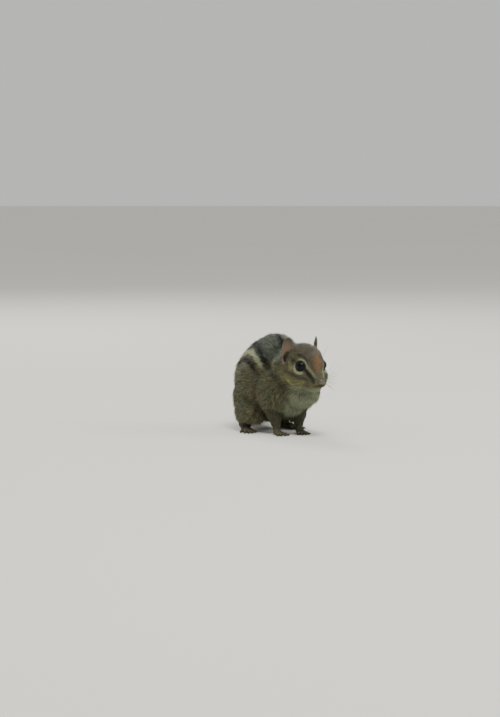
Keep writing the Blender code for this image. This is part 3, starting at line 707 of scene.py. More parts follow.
def coat_lie(animal, normals, zones):
    """The way the hair lies at each point of the skin, as a unit vector along the skin."""
    head = in_head(animal)
    x, y, z = animal.T
    count = len(animal)
    rear = ramp(y, 26.0, 58.0)
    low = ramp(z, 50.0, 26.0)
    trunk = np.column_stack((np.zeros(count), 1.0 - 0.75 * rear, -0.95 * rear - 0.42 * low))
    front = ramp(y, 2.0, -10.0) * ramp(z, 44.0, 34.0)
    trunk = blend_of(trunk, np.array((0.0, 0.35, -1.0)), front[:, None])
    under = ramp(-normals[:, 2], 0.5, 0.9)
    trunk = blend_of(trunk, np.array((0.0, 1.0, 0.0)), under[:, None])
    away = head - np.array((0.0, -21.5, -2.0))
    away[:, 1] += 2.0
    own = unit(away) @ np.array(head_turn().to_3x3()).T
    lie = blend_of(unit(trunk), own, face_share(head)[:, None])
    legs = np.array((0.0, 0.25, -1.0))
    feet = np.column_stack((0.15 * np.sign(x), -np.ones(count), np.full(count, -0.25)))
    lie = np.where((zones == ZONE["legs"])[:, None], legs, lie)
    lie = np.where((zones == ZONE["feet"])[:, None], feet, lie)
    turn = np.array(head_turn().to_3x3())
    for side in (-1, 1):
        tip = turn @ np.array(ear_turn(side).to_3x3() @ Vector((0, 0, 1)))
        lie = np.where(((zones == ZONE["ears"]) & (np.sign(x - HEAD_CENTRE.x) == side))[:, None], tip, lie)
    lie = lie - normals * np.sum(lie * normals, axis=1, keepdims=True)
    return unit(lie)


def pressed_mouth(mesh, settings):
    """Presses the line of the mouth into the skin and rounds the lips on either side of it."""
    verts = array_of(mesh.vertices, "co", 3)
    normals = array_of(mesh.vertex_normals, "vector", 3)
    head = carried(verts, HEAD.inverted())
    far, _ = line_distance(both_sides(head), MOUTH_LINE)
    crease = np.exp(-(far / 0.45) ** 2) * settings.mouth_depth
    lip = np.exp(-((far - 1.0) / 0.5) ** 2) * 0.14
    move_points(mesh, verts + normals * ((lip - crease) * MM)[:, None])


def fitted_face(outer, settings):
    """The outside drawn in round the eyes so that the lids sit in it, to the nose so that no gap shows, and in the
    hollow in front of each ear."""
    head = carried(outer, HEAD.inverted())
    for side in (-1, 1):
        middle = np.array(eye_middle(side))
        own = head - middle
        polar, turn, reach = eye_places(head * (side, 1, 1))
        opening = lid_opening(np.radians(turn), settings)
        allowed = settings.eye_radius / MM + np.interp(polar - opening, *LID_BED)
        drawn = reach - np.maximum(0.0, reach - allowed) * ramp(reach, 8.6, 6.2)
        head = middle + own * (drawn / np.maximum(reach, 1e-9))[:, None]
    centre, radii = np.array(NOSE_CENTRE), np.array(NOSE_RADII)
    own = (head - centre) / (radii * NOSE_FULLNESS)
    off = np.linalg.norm(own, axis=1)
    drawn = off - 0.22 * ramp(off, 1.55, 1.2)
    head = centre + own * (drawn / np.maximum(off, 1e-9))[:, None] * radii * NOSE_FULLNESS
    for side in (-1, 1):
        far, along = line_distance(head, np.array(EAR_HOLLOW[0]) * (side, 1, 1))
        inward = np.array((-side * 0.85, 0.1, -0.1))
        head = head + inward * (np.exp(-(far / 1.35) ** 2) * (2.3 - 1.0 * along))[:, None]
    return carried(head, HEAD)


def finer_face(obj):
    """Halves the mesh's grain round the eyes and the muzzle."""
    bm = bmesh.new()
    bm.from_mesh(obj.data)
    inverse = HEAD.inverted()
    chosen = set()
    for face in bm.faces:
        spot = inverse @ face.calc_center_median()
        near_eye = (mirrored(spot, 1 if spot.x > 0 else -1) - EYE_CENTRE).length < 6.6
        on_ear = abs(spot.x) > 8.6 and 8.4 < spot.y < 17.0 and spot.z > 0.5
        if near_eye or on_ear or (spot.y < -15.5 and spot.z > -11.5):
            chosen.update(face.edges)
    bmesh.ops.subdivide_edges(bm, edges=list(chosen), cuts=1, use_grid_fill=True)
    bmesh.ops.triangulate(bm, faces=[f for f in bm.faces if len(f.verts) > 4])
    bm.to_mesh(obj.data)
    bm.free()


def build_skin(settings):
    """One skin in place of the nodes of flesh, lying inside them by the depth of the coat."""
    obj = fused_flesh(settings)
    finer_face(obj)
    pressed_mouth(obj.data, settings)
    mesh = obj.data
    outer = array_of(mesh.vertices, "co", 3)
    zones = zone_numbers(outer)
    outer = fitted_face(outer, settings)
    move_points(mesh, outer)
    normals = array_of(mesh.vertex_normals, "vector", 3)
    edges = edge_pairs(mesh)
    animal = in_animal(outer)
    depth = coat_depths(animal, normals, zones, edges, settings)
    inward = depth + settings.seam_overlap / MM * 0.9
    inward = np.where((zones == ZONE["feet"]) | (zones == ZONE["tail"]), depth, inward)
    skin = outer - normals * (inward * MM)[:, None]
    skin[:, 2] = np.maximum(skin[:, 2], 0.0)
    move_points(mesh, skin)
    keep_marks(mesh, markings(animal, normals, zones))
    # The skin takes the colours of a middling hair, seen a third of the way along
    keep_vectors(mesh, "hair", np.column_stack((np.full(len(skin), 0.35), np.full(len(skin), 0.5), depth)))
    keep_vectors(mesh, "lie", coat_lie(animal, normals, zones))
    mesh.attributes.new("zone", "INT", "POINT").data.foreach_set("value", zones.astype(np.int32))
    shade_smooth(mesh)
    dressed(obj, skin_material())
    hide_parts(*FLESH, *FEET, "tail")
    return obj


# ---------------------------------------------------------------------------------------------------------------------
# Hair


def hair_template(cuts, sides=3):
    """One hair as a slim cone: each vertex's direction round it and share of its length, and its triangles."""
    bm = bmesh.new()
    bmesh.ops.create_cone(bm, cap_ends=True, segments=sides, radius1=1.0, radius2=0.0, depth=1.0,
                          matrix=Matrix.Translation((0, 0, 0.5)))
    for height in cuts:
        geometry = bm.verts[:] + bm.edges[:] + bm.faces[:]
        bmesh.ops.bisect_plane(bm, geom=geometry, dist=1e-6, plane_co=(0, 0, height), plane_no=(0, 0, 1))
    bmesh.ops.recalc_face_normals(bm, faces=bm.faces)
    bmesh.ops.triangulate(bm, faces=bm.faces)
    bm.verts.index_update()
    points = np.array([v.co for v in bm.verts])
    faces = np.array([[v.index for v in f.verts] for f in bm.faces])
    bm.free()
    reach = np.hypot(points[:, 0], points[:, 1])
    safe = np.maximum(reach, 1e-9)
    round_it = np.column_stack((points[:, 0] / safe, points[:, 1] / safe)) * (reach > 1e-6)[:, None]
    return round_it, points[:, 2], faces


def hair_profile(share):
    """How thick a hair is along its length: a little slim at the root, fullest before its middle, a fine tip."""
    return np.interp(share, (0.0, 0.35, 0.7, 0.999, 1.0), (0.7, 1.0, 0.72, 0.06, 0.0))


def patch_map(template, spots):
    """A map for a coat: each hair is one small patch at its root's place, seen from its tip, its base set apart."""
    round_it, share, faces = template
    local = round_it * (1.0 - 0.92 * share)[:, None] * PATCH_SIZE / 2
    corners = local[faces]
    base = np.all(share[faces] < 1e-6, axis=1)
    corners[base] = corners[base] * 0.15 + PATCH_SIZE * 0.42
    flat = corners.reshape(-1, 2)
    return (spots[:, None, :] + flat[None, :, :]).reshape(-1, 2)


def unwrapped(outer, axis):
    """Places in the square for points of one patch of skin, unrolled about the way the patch faces."""
    centre = outer.mean(0) - np.asarray(axis) * 8.0
    rays = unit(outer - centre)
    axis = unit(np.asarray(axis, float))
    helper = np.array((0.0, 0.0, 1.0)) if abs(axis[2]) < 0.9 else np.array((0.0, 1.0, 0.0))
    across = unit(np.cross(helper, axis))
    upward = np.cross(axis, across)
    angle = np.arccos(np.clip(rays @ axis, -1, 1))
    flat = unit(np.column_stack((rays @ across, rays @ upward))) * angle[:, None]
    low, high = flat.min(0), flat.max(0)
    return 0.01 + 0.98 * (flat - low) / (high - low)


def hair_mesh(name, template, centres, across, over, widths, spots):
    """A joined mesh of hairs. centres, across and over are arrays of hair by template vertex by three."""
    round_it, share, faces = template
    hairs, points = centres.shape[:2]
    thick = hair_profile(share)[None, :, None] * widths[:, None, None]
    body = centres + thick * (across * round_it[None, :, :1] + HAIR_FLATNESS * over * round_it[None, :, 1:])
    mesh = bpy.data.meshes.new(name)
    triangles = (faces[None] + (np.arange(hairs) * points)[:, None, None]).reshape(-1, 3)
    mesh.vertices.add(hairs * points)
    mesh.vertices.foreach_set("co", body.astype(np.float32).ravel())
    mesh.loops.add(triangles.size)
    mesh.loops.foreach_set("vertex_index", triangles.astype(np.int32).ravel())
    mesh.polygons.add(len(triangles))
    mesh.polygons.foreach_set("loop_start", np.arange(0, triangles.size, 3, dtype=np.int32))
    mesh.update(calc_edges=True)
    shade_smooth(mesh)
    layer = mesh.uv_layers.new(name="OFBake")
    layer.uv.foreach_set("vector", patch_map(template, spots).astype(np.float32).ravel())
    return linked(name, mesh)


def skin_samples(count, zone, seed, crowding):
    """Roots spread over a zone of the skin: place, normal, lie, depth and zone of each, and the random draw."""
    mesh = bpy.data.objects["skin"].data
    mesh.calc_loop_triangles()
    corners = np.empty(len(mesh.loop_triangles) * 3, np.int32)
    mesh.loop_triangles.foreach_get("vertices", corners)
    corners = corners.reshape(-1, 3)
    places = array_of(mesh.vertices, "co", 3)
    normals = array_of(mesh.vertex_normals, "vector", 3)
    lie = array_of(mesh.attributes["lie"].data, "vector", 3)
    hair = array_of(mesh.attributes["hair"].data, "vector", 3)
    zones = np.empty(len(places), np.int32)
    mesh.attributes["zone"].data.foreach_get("value", zones)
    corners = corners[zones[corners[:, 0]] == ZONE[zone]]
    a, b, c = (places[corners[:, k]] for k in range(3))
    area = np.linalg.norm(np.cross(b - a, c - a), axis=1) / 2
    weight = area * crowding(in_animal(a), hair[corners[:, 0], 2], normals[corners[:, 0]])
    total = np.cumsum(weight)
    draw = np.random.default_rng(seed)
    at = np.searchsorted(total, (np.arange(count) + draw.random(count)) / count * total[-1])
    chosen = corners[np.minimum(at, len(corners) - 1)]
    u, v = draw.random(count), draw.random(count)
    flip = u + v > 1
    u[flip], v[flip] = 1 - u[flip], 1 - v[flip]
    shares = np.column_stack((1 - u - v, u, v))[:, :, None]

    def mixed(values):
        return np.sum(values[chosen] * shares, axis=1)

    return mixed(places), unit(mixed(normals)), unit(mixed(lie)), mixed(hair)[:, 2], zones[chosen[:, 0]], draw


def gathered(roots, tips, every, pull, draw):
    """Moves the tips of neighbouring hairs towards each other, so that the coat lies in small tufts."""
    leaders = draw.choice(len(roots), max(1, len(roots) // every), replace=False)
    tree = KDTree(len(leaders))
    for k, i in enumerate(leaders):
        tree.insert(roots[i], k)
    tree.balance()
    own = np.array([leaders[tree.find(root)[1]] for root in roots])
    offset = tips[own] - tips
    return offset * (pull * draw.uniform(0.5, 1.0, len(roots)))[:, None]


def even_crowding(animal, depth, normals):
    """More hairs to the area where the coat is short, since each covers less."""
    length = 2.1 * depth + 0.6
    return 1.0 / (length * (0.1 + 0.035 * length))


def clear_of_face(head):
    """1 where hair may root on the head, 0 on the eyes, the nose, the line of the mouth and the ears' hollows."""
    folded = both_sides(head)
    polar, turn, reach = eye_places(folded)
    rim = polar - lid_opening(np.radians(turn), bpy.context.scene.chipmunk_body)
    eye = (rim > 6.5 + 6.0 * np.maximum(0.0, -np.cos(np.radians(turn)))) | (reach > 6.3)
    nose = np.linalg.norm((head - np.array(NOSE_CENTRE)) / (np.array(NOSE_RADII) * NOSE_FULLNESS), axis=1)
    mouth, _ = line_distance(folded, MOUTH_LINE)
    hollow, _ = line_distance(folded, EAR_HOLLOW[0])
    return eye * (nose > 0.98) * (mouth > 0.4) * (hollow > 1.3)


def half_of_head(side):
    """The crowding of one half of the head's coat, which stays clear of the eyes, the nose and the mouth."""
    def crowding(animal, depth, normals):
        head = in_head(animal)
        own_half = np.sign(head[:, 0] + 1e-9) == side
        return even_crowding(animal, depth, normals) * own_half * clear_of_face(head)
    return crowding


def tops_of_feet(animal, depth, normals):
    """The crowding of the feet's coat, which leaves their soles bare."""
    return ramp(normals[:, 2], -0.55, -0.1) * ramp(animal[:, 2], 0.15, 0.5)


def marked_hairs(obj, marks, share, tuft, depth):
    """Gives each hair its root's marks and, at each of its points, the share along it, its own tone and the depth."""
    points = len(share)
    keep_marks(obj.data, [np.repeat(mark, points, axis=0) for mark in marks])
    keep_vectors(obj.data, "hair", np.column_stack((
        np.tile(share, len(tuft)), np.repeat(tuft, points), np.repeat(depth, points))))
    return dressed(obj, coat_material())


def grow_coat(zone, count, seed, settings, name=None, crowding=even_crowding, finer=1.0):
    """A coat piece over a zone of the skin: tapered hairs that leave the skin and bend to its lie."""
    places, normals, lie, depth, zones, draw = skin_samples(count, zone, seed, crowding)
    template = hair_template((0.42,))
    share = template[1]
    across = unit(np.cross(normals, lie))
    swing = draw.normal(0, settings.stray, count)[:, None]
    lie = unit(lie + across * swing)
    length = (settings.length_by_depth * depth + 0.55) * draw.uniform(0.72, 1.15, count)
    guard = draw.random(count) < settings.guard_share
    height = depth * np.where(guard, draw.uniform(1.15, 1.8, count), draw.uniform(0.5, 1.12, count))
    widths = (0.07 + 0.027 * length) * draw.uniform(0.8, 1.2, count) * np.where(guard, 0.75, 1.0) * finer
    tips = places + (lie * length[:, None] + normals * height[:, None]) * MM
    pulled = gathered(places, tips, settings.tuft_size, settings.tuft_pull, draw)
    t = share[None, :, None]
    rise = 1 - (1 - t) ** 2.2
    centres = (places[:, None, :] - normals[:, None, :] * 0.25 * MM
               + lie[:, None, :] * (length * MM)[:, None, None] * t
               + normals[:, None, :] * ((height + 0.25) * MM)[:, None, None] * rise
               + pulled[:, None, :] * t ** 1.6)
    centres[:, :, 2] = np.maximum(centres[:, :, 2], FLOOR_GAP * MM)
    shape = (count, len(share), 3)
    across = np.broadcast_to(unit(np.cross(normals, lie))[:, None, :], shape)
    over = np.broadcast_to(normals[:, None, :], shape)
    outer = in_animal(places + normals * (depth * MM)[:, None] + lie * (0.5 * length * MM)[:, None])
    spots = unwrapped(outer, normals.mean(0))
    obj = hair_mesh("coat_" + (name or zone), template, centres, across, over, widths * MM, spots)
    marks = markings(outer + draw.normal(0, 0.26, (count, 3)) * depth[:, None], normals, zones)
    return marked_hairs(obj, marks, share, draw.random(count), depth)


def tail_brush(count, seed, settings):
    """The long hair of the tail: it fans out to both sides of the core, dark with frosted tips."""
    draw = np.random.default_rng(seed)
    line = tail_line()
    places = np.linspace(0, 1, len(line))
    share = 0.06 + 0.94 * ((np.arange(count) + draw.random(count)) / count)
    middle = np.column_stack([np.interp(share, places, line[:, k]) for k in range(3)])
    ahead = np.column_stack([np.interp(np.minimum(share + 0.04, 1.0), places, line[:, k]) for k in range(3)])
    behind = np.column_stack([np.interp(share - 0.05, places, line[:, k]) for k in range(3)])
    along = unit(ahead - behind)
    level = unit(np.cross(np.array((0.0, 0.0, 1.0)), along))
    over = np.cross(along, level)
    angle = draw.uniform(0, 2 * math.pi, count)
    side, up = np.cos(angle)[:, None], np.sin(angle)[:, None]
    wide, high = tail_size(share)
    out = unit(level * side + over * up)
    roots = middle + level * side * wide[:, None] * 0.8 + over * up * high[:, None] * 0.8
    swell = 0.62 + 0.38 * np.sin(math.pi * np.minimum(1.0, share * 1.15))
    lift = np.radians(8 + 27 * side[:, 0] ** 2) * draw.uniform(0.7, 1.15, count)
    length = settings.tail_length * swell * draw.uniform(0.7 - 0.3 * ramp(share, 0.8, 1.0), 1.04, count)
    start = unit(along * np.cos(lift * 1.3)[:, None] + out * np.sin(lift * 1.3)[:, None])
    bend = unit(along * np.cos(lift * 0.5)[:, None] + out * np.sin(lift * 0.5)[:, None])
    template = hair_template((0.3, 0.65))
    t = template[1][None, :, None]
    heading = start[:, None, :] * (1 - t / 2) + bend[:, None, :] * t / 2
    tips = roots + (start + bend) / 2 * length[:, None]
    pulled = gathered(tips - along * 3, tips, 14, 0.3, draw)
    centres = roots[:, None, :] + heading * length[:, None, None] * t + pulled[:, None, :] * t ** 1.5
    floor = FLOOR_GAP + 0.9 * draw.random(count)
    centres[:, :, 2] = np.maximum(centres[:, :, 2], floor[:, None] * np.minimum(1, share[:, None] * 6))
    across = np.broadcast_to(unit(np.cross(out, start))[:, None, :], centres.shape)
    outward = np.broadcast_to(out[:, None, :], centres.shape)
    widths = draw.uniform(0.15, 0.25, count) * MM
    spots = np.column_stack((0.01 + 0.98 * share, 0.01 + 0.98 * angle / (2 * math.pi)))
    obj = hair_mesh("coat_tail", template, carried(centres.reshape(-1, 3), ANIMAL).reshape(centres.shape),
                    across, outward, widths, spots)
    marks = markings(middle, out, np.full(count, ZONE["tail"]))
    marks[1][:, 0] = 0.45
    marks[2][:, 1] = np.clip(0.25 + 0.75 * side[:, 0] ** 2 + draw.normal(0, 0.12, count), 0.0, 1.0)
    return marked_hairs(obj, marks, template[1], draw.random(count), np.full(count, 3.0))


# ---------------------------------------------------------------------------------------------------------------------
# Face


def eye_middle(side):
    """The middle of an eyeball in the head's frame, a little deeper than the solid's."""
    return mirrored(EYE_CENTRE - EYE_AXIS * EYE_SINK, side)


def build_eye(name, side, settings):
    """An eyeball with a slight bulge over its front, turned the way the animal looks."""
    bm = bmesh.new()
    bmesh.ops.create_uvsphere(bm, u_segments=48, v_segments=32, radius=settings.eye_radius / MM)
    for vert in bm.verts:
        outward = max(0.0, vert.co.z / (settings.eye_radius / MM))
        vert.co *= 1.0 + 0.035 * outward ** 6
    turn = mirrored(EYE_AXIS, side).to_track_quat("Z", "Y").to_matrix().to_4x4()
    bmesh.ops.transform(bm, matrix=HEAD @ Matrix.Translation(eye_middle(side)) @ turn, verts=bm.verts)
    obj = from_bmesh("eyeball_" + name, bm)
    dressed(obj, eye_material(name, side))
    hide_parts("eye_" + name)
    return obj


def lid_opening(angle, settings):
    """The half angle of the opening between the lids, towards an angle round the eye's axis, in degrees."""
    return settings.lid_opening * (1.0 + 0.04 * np.sin(angle) + 0.11 * np.cos(2 * angle))


def eye_frame(side):
    """An eye's frame in the model: X away from the nose, Y up, Z out of the pupil."""
    return HEAD @ Matrix.Translation(eye_middle(side)) @ Matrix(eye_axes(side)).transposed().to_4x4()


def build_lids(name, side, settings):
    """The two lids of an eye as one soft dark rim, folded over the ball, with a small corner towards the nose."""
    radius = settings.eye_radius / MM
    bm = bmesh.new()
    section = [bm.verts.new((math.radians(off), 0.0, lift)) for off, lift in LID_SECTION]
    for start, end in zip(section, section[1:] + section[:1]):
        bm.edges.new((start, end))
    # The section is spun about an axis well off it, and each point then turned into degrees off the eye's axis
    for vert in bm.verts:
        vert.co.x += 10.0
    bmesh.ops.spin(bm, geom=bm.verts[:] + bm.edges[:], cent=(0, 0, 0), axis=(0, 0, 1), angle=2 * math.pi, steps=72,
                   use_merge=True)
    for vert in bm.verts:
        angle = math.atan2(vert.co.y, vert.co.x)
        corner = math.exp(-(math.remainder(angle - math.pi, 2 * math.pi) / 0.25) ** 2)
        rim = math.radians(float(lid_opening(angle, settings)) + 5.0 * corner)
        polar = rim + math.hypot(vert.co.x, vert.co.y) - 10.0
        reach = radius + vert.co.z
        vert.co = reach * Vector((math.sin(polar) * math.cos(angle), math.sin(polar) * math.sin(angle),
                                  math.cos(polar)))
    bmesh.ops.transform(bm, matrix=eye_frame(side), verts=bm.verts)
    bmesh.ops.remove_doubles(bm, verts=bm.verts, dist=1e-7)
    bmesh.ops.recalc_face_normals(bm, faces=bm.faces)
    obj = from_bmesh("lids_" + name, bm)
    return dressed(obj, lid_material())


def build_nose():
    """The bare pad of the nose: rounded, cleft down its middle, with a comma-shaped nostril on each side."""
    bm = bmesh.new()
    bmesh.ops.create_uvsphere(bm, u_segments=72, v_segments=48, radius=1.0,
                              matrix=Matrix.Rotation(math.radians(90), 4, "X"))
    for vert in bm.verts:
        x, y, z = vert.co
        front = max(0.0, -y)
        cleft = math.exp(-(x / 0.12) ** 2) * front * (0.10 + 0.16 * max(0.0, -z + 0.1))
        inner = math.hypot((abs(x) - 0.46) / 0.20, (z + 0.06) / 0.25)
        slit = math.hypot((abs(x) - 0.78) / 0.26, (z + 0.10 - 0.3 * (abs(x) - 0.6)) / 0.13)
        nostril = max(math.exp(-inner ** 2), 0.8 * math.exp(-slit ** 2)) * front
        wing = math.exp(-((math.hypot(abs(x) - 0.55, z) - 0.45) / 0.16) ** 2) * front
        vert.co = vert.co * (1.0 + 0.05 * wing - 0.42 * nostril)
        vert.co.y += cleft
    size = Matrix.Diagonal((*[r * NOSE_FULLNESS for r in NOSE_RADII], 1.0))
    place = HEAD @ Matrix.Translation(NOSE_CENTRE) @ Matrix.Rotation(math.radians(-12), 4, "X") @ size
    bmesh.ops.transform(bm, matrix=place, verts=bm.verts)
    bmesh.ops.recalc_face_normals(bm, faces=bm.faces)
    obj = from_bmesh("nose_pad", bm)
    dressed(obj, nose_material())
    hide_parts("nose")
    return obj


def spread_spots(count):
    """Places in the square for a few separate bristles or claws."""
    return np.column_stack([np.linspace(0.05, 0.95, count)] * 2)


def build_whiskers(settings):
    """Long bristles in rows on the muzzle, and a few over each eye and on each cheek: each a slim bent cone."""
    draw = np.random.default_rng(5)
    skin = BVHTree.FromObject(bpy.data.objects["skin"], bpy.context.evaluated_depsgraph_get())
    longest = settings.whisker_length / MM
    inverse = HEAD.inverted()
    roots, directions, sags, lengths = [], [], [], []

    def bristle(spot, direction, sag, length):
        roots.append(inverse @ skin.find_nearest(HEAD @ Vector(spot))[0])
        directions.append(direction)
        sags.append(sag)
        lengths.append(length)

    for side in (-1, 1):
        for row in range(4):
            for k in range(4):
                bristle((side * (4.2 + 0.5 * row), -18.6 + 1.5 * k, -2.4 - 1.15 * row),
                        (side * (0.92 - 0.06 * k), -0.30 + 0.24 * k + draw.uniform(-0.08, 0.08),
                         0.30 - 0.24 * row + draw.uniform(-0.05, 0.05)),
                        (side * -0.02, 0.22 + 0.05 * k, -0.06 - 0.05 * row),
                        longest * (0.55 + 0.14 * k - 0.04 * row) * draw.uniform(0.9, 1.1))
        for x, y, z in ((7.6, -7.5, 10.2), (8.3, -5.2, 10.8), (13.4, -2.0, -4.0)):
            bristle((side * x, y, z), (side * 0.6, 0.15, 0.75 if z > 0 else -0.3), (side * 0.05, 0.25, -0.05),
                    longest * 0.42)
    template = hair_template((0.12, 0.25, 0.38, 0.5, 0.62, 0.74, 0.86), 5)
    turn = np.array(HEAD.to_3x3())
    roots = carried(np.array(roots), HEAD)
    directions = unit(np.array(directions) @ turn.T)
    sags = np.array(sags) @ turn.T / np.linalg.norm(turn[0])
    t = template[1][None, :, None]
    lengths = np.array(lengths)[:, None, None] * MM
    centres = roots[:, None, :] + directions[:, None, :] * lengths * t + sags[:, None, :] * lengths * t ** 2
    helper = unit(np.cross(directions, np.array((0.1, 0.2, 1.0))))
    across = np.broadcast_to(helper[:, None, :], centres.shape)
    over = np.broadcast_to(np.cross(directions, helper)[:, None, :] / HAIR_FLATNESS, centres.shape)
    widths = np.full(len(roots), 0.085 * MM)
    obj = hair_mesh("whiskers", template, centres, across, over, widths, spread_spots(len(roots)))
    return dressed(obj, whisker_material())


def build_claws(settings):
    """A dark claw on each toe, deeper than it is wide, curving down to the floor."""
    template = hair_template((0.2, 0.4, 0.6, 0.8), 8)
    share = template[1]
    centres, across, over, widths = [], [], [], []
    for knuckle, direction, length, radius in all_toes(-1) + all_toes(1):
        base = knuckle + direction * (length + radius * 0.2) + Vector((0, 0, 0.42 - SOLE_PRESS))
        reach = (settings.claw_length / MM) * (1.0 if length > 6.5 else 0.85)
        path = [base + direction * reach * t + Vector((0, 0, 0.42 * reach * (0.5 * t - t * t))) for t in share]
        centres.append([ANIMAL @ p for p in path])
        across.append([Vector((0, 0, 1)).cross(direction).normalized()] * len(share))
        over.append([Vector((0, 0, 1)) * 2.3] * len(share))
        widths.append(0.42 * MM)
    centres = np.array(centres)
    centres[:, :, 2] = np.maximum(centres[:, :, 2], 0.3 * MM * (1 - share)[None, :] + 0.02 * MM)
    obj = hair_mesh("claws", template, centres, np.array(across), np.array(over), np.array(widths),
                    spread_spots(len(widths)))
    return dressed(obj, claw_material())


# ---------------------------------------------------------------------------------------------------------------------
# Materials


class Nodes:
    """A short way to add nodes and links to one tree."""

    def __init__(self, tree):
        self.tree = tree

    def add(self, kind, inputs=None, **settings):
        node = self.tree.nodes.new(kind)
        for key, value in settings.items():
            setattr(node, key, value)
        for key, value in (inputs or {}).items():
            self.join(value, node.inputs[key])
        return node

    def join(self, value, socket):
        if isinstance(value, bpy.types.NodeSocket):
            self.tree.links.new(value, socket)
        else:
            socket.default_value = value

    def math(self, operation, a, b=0.0, clamp=False):
        return self.add("ShaderNodeMath", {0: a, 1: b}, operation=operation, use_clamp=clamp).outputs[0]

    def mix(self, share, a, b, blend="MIX"):
        node = self.add("ShaderNodeMix", data_type="RGBA", blend_type=blend)
        self.join(share, node.inputs["Factor"])
        self.join(a, node.inputs["A"])
        self.join(b, node.inputs["B"])
        return node.outputs["Result"]

    def spread(self, value, low, high, to_low=0.0, to_high=1.0):
        return self.add("ShaderNodeMapRange", {"Value": value, "From Min": low, "From Max": high,
                                               "To Min": to_low, "To Max": to_high}).outputs["Result"]

    def noise(self, scale, detail, roughness=0.5):
        inputs = {"Vector": self.place(), "Scale": scale, "Detail": detail, "Roughness": roughness}
        return self.add("ShaderNodeTexNoise", inputs).outputs["Fac"]

    def place(self):
        return self.add("ShaderNodeTexCoord").outputs["Object"]

    def distance(self, point):
        node = self.add("ShaderNodeVectorMath", {0: self.place(), 1: tuple(point)}, operation="DISTANCE")
        return node.outputs["Value"]

    def relief(self, height, strength, depth):
        return self.add("ShaderNodeBump", {"Height": height, "Strength": strength, "Distance": depth}).outputs["Normal"]

    def attribute(self, name):
        node = self.add("ShaderNodeAttribute", attribute_name=name)
        return self.add("ShaderNodeSeparateXYZ", {"Vector": node.outputs["Vector"]}).outputs


def colour_of(value):
    return (*value, 1.0)


def coat_group():
    """The node group that gives skin and coat the same colours from their marks."""
    group = bpy.data.node_groups.get("Coat colours")
    if group:
        return group
    colours = bpy.context.scene.chipmunk_colours
    group = bpy.data.node_groups.new("Coat colours", "ShaderNodeTree")
    names = ("Brown", "Grey", "Rust", "Ochre", "Pale", "Cream", "Dark", "Pink", "Mauve", "Frost")
    for name in names:
        socket = group.interface.new_socket(name, in_out="INPUT", socket_type="NodeSocketColor")
        socket.default_value = colour_of(getattr(colours, name.lower()))
    group.interface.new_socket("Colour", in_out="OUTPUT", socket_type="NodeSocketColor")
    n = Nodes(group)
    given = n.add("NodeGroupInput").outputs
    first, second, third, hair = (n.attribute(name) for name in ("marks_a", "marks_b", "marks_c", "hair"))
    dark, cream, grey = first
    rust, pale, ochre = second
    pink, tail, mauve = third
    along, tuft, _ = hair
    base = n.mix(n.spread(n.noise(160.0, 3.0), 0.35, 0.7), given["Brown"], n.mix(0.22, given["Brown"], given["Rust"]))
    varied_rust = n.math("MULTIPLY", rust, n.spread(tuft, 0.0, 1.0, 0.6, 1.25), clamp=True)
    for mask, name in ((grey, "Grey"), (mauve, "Mauve"), (varied_rust, "Rust"), (ochre, "Ochre"), (pale, "Pale"),
                       (pink, "Pink"), (cream, "Cream")):
        base = n.mix(mask, base, given[name])
    # Single hairs with pale or black tips, fewer where the coat is one plain colour
    plain = n.math("MAXIMUM", n.math("MAXIMUM", cream, pale), n.math("MAXIMUM", pink, dark))
    ticked = n.math("SUBTRACT", 1.0, n.math("MULTIPLY", plain, 0.75))
    for name, strength, chosen, reach in (("Cream", 0.34, (0.72, 0.8), (0.35, 0.7)),
                                          ("Dark", 0.5, (0.26, 0.18), (0.3, 0.8))):
        tip = n.math("MULTIPLY", n.spread(tuft, *chosen), n.spread(along, *reach))
        base = n.mix(n.math("MULTIPLY", n.math("MULTIPLY", tip, ticked), strength), base, given[name])
    base = n.mix(dark, base, given["Dark"])
    banded = n.mix(n.spread(along, 0.42, 0.55), n.mix(0.5, given["Rust"], given["Brown"]), given["Dark"])
    banded = n.mix(n.spread(along, 0.84, 0.93), banded, given["Frost"])
    base = n.mix(tail, base, banded)
    # Each hair darker towards its root, partly the grey of its underfur and partly painted shade deep in the coat; each
    # hair also a little lighter or darker at random
    shade = n.math("MULTIPLY", n.spread(along, 0.0, 0.65, 0.42, 1.0), n.spread(tuft, 0.0, 1.0, 0.8, 1.16))
    lit = n.add("ShaderNodeCombineXYZ", {"X": shade, "Y": shade, "Z": shade}).outputs["Vector"]
    base = n.mix(1.0, base, lit, "MULTIPLY")
    n.add("NodeGroupOutput", {"Colour": base})
    return group


def new_material(name, roughness, specular=0.5):
    """A material with one Principled shader: the material, a way to add nodes to it, and the shader's inputs."""
    material = bpy.data.materials.new(name)
    material.use_nodes = True
    material.node_tree.nodes.clear()
    n = Nodes(material.node_tree)
    shader = n.add("ShaderNodeBsdfPrincipled", {"Roughness": roughness, "Specular IOR Level": specular})
    n.add("ShaderNodeOutputMaterial", {"Surface": shader.outputs["BSDF"]})
    return material, n, shader.inputs


def grained_material(name, scale, detail, colours, roughness, specular=0.5, relief=None):
    """A material whose colour runs between two by a noise, which also stands in relief where that is given."""
    material = bpy.data.materials.get(name)
    if material:
        return material
    material, n, surface = new_material(name, roughness, specular)
    grain = n.noise(scale, detail)
    n.join(n.mix(n.spread(grain, 0.3, 0.7), *map(colour_of, colours)), surface["Base Color"])
    if relief:
        n.join(n.relief(grain, *relief), surface["Normal"])
    return material


def coat_material():
    material = bpy.data.materials.get("Coat")
    if material:
        return material
    material, n, surface = new_material("Coat", 0.6, 0.28)
    n.join(n.add("ShaderNodeGroup", node_tree=coat_group()).outputs["Colour"], surface["Base Color"])
    return material


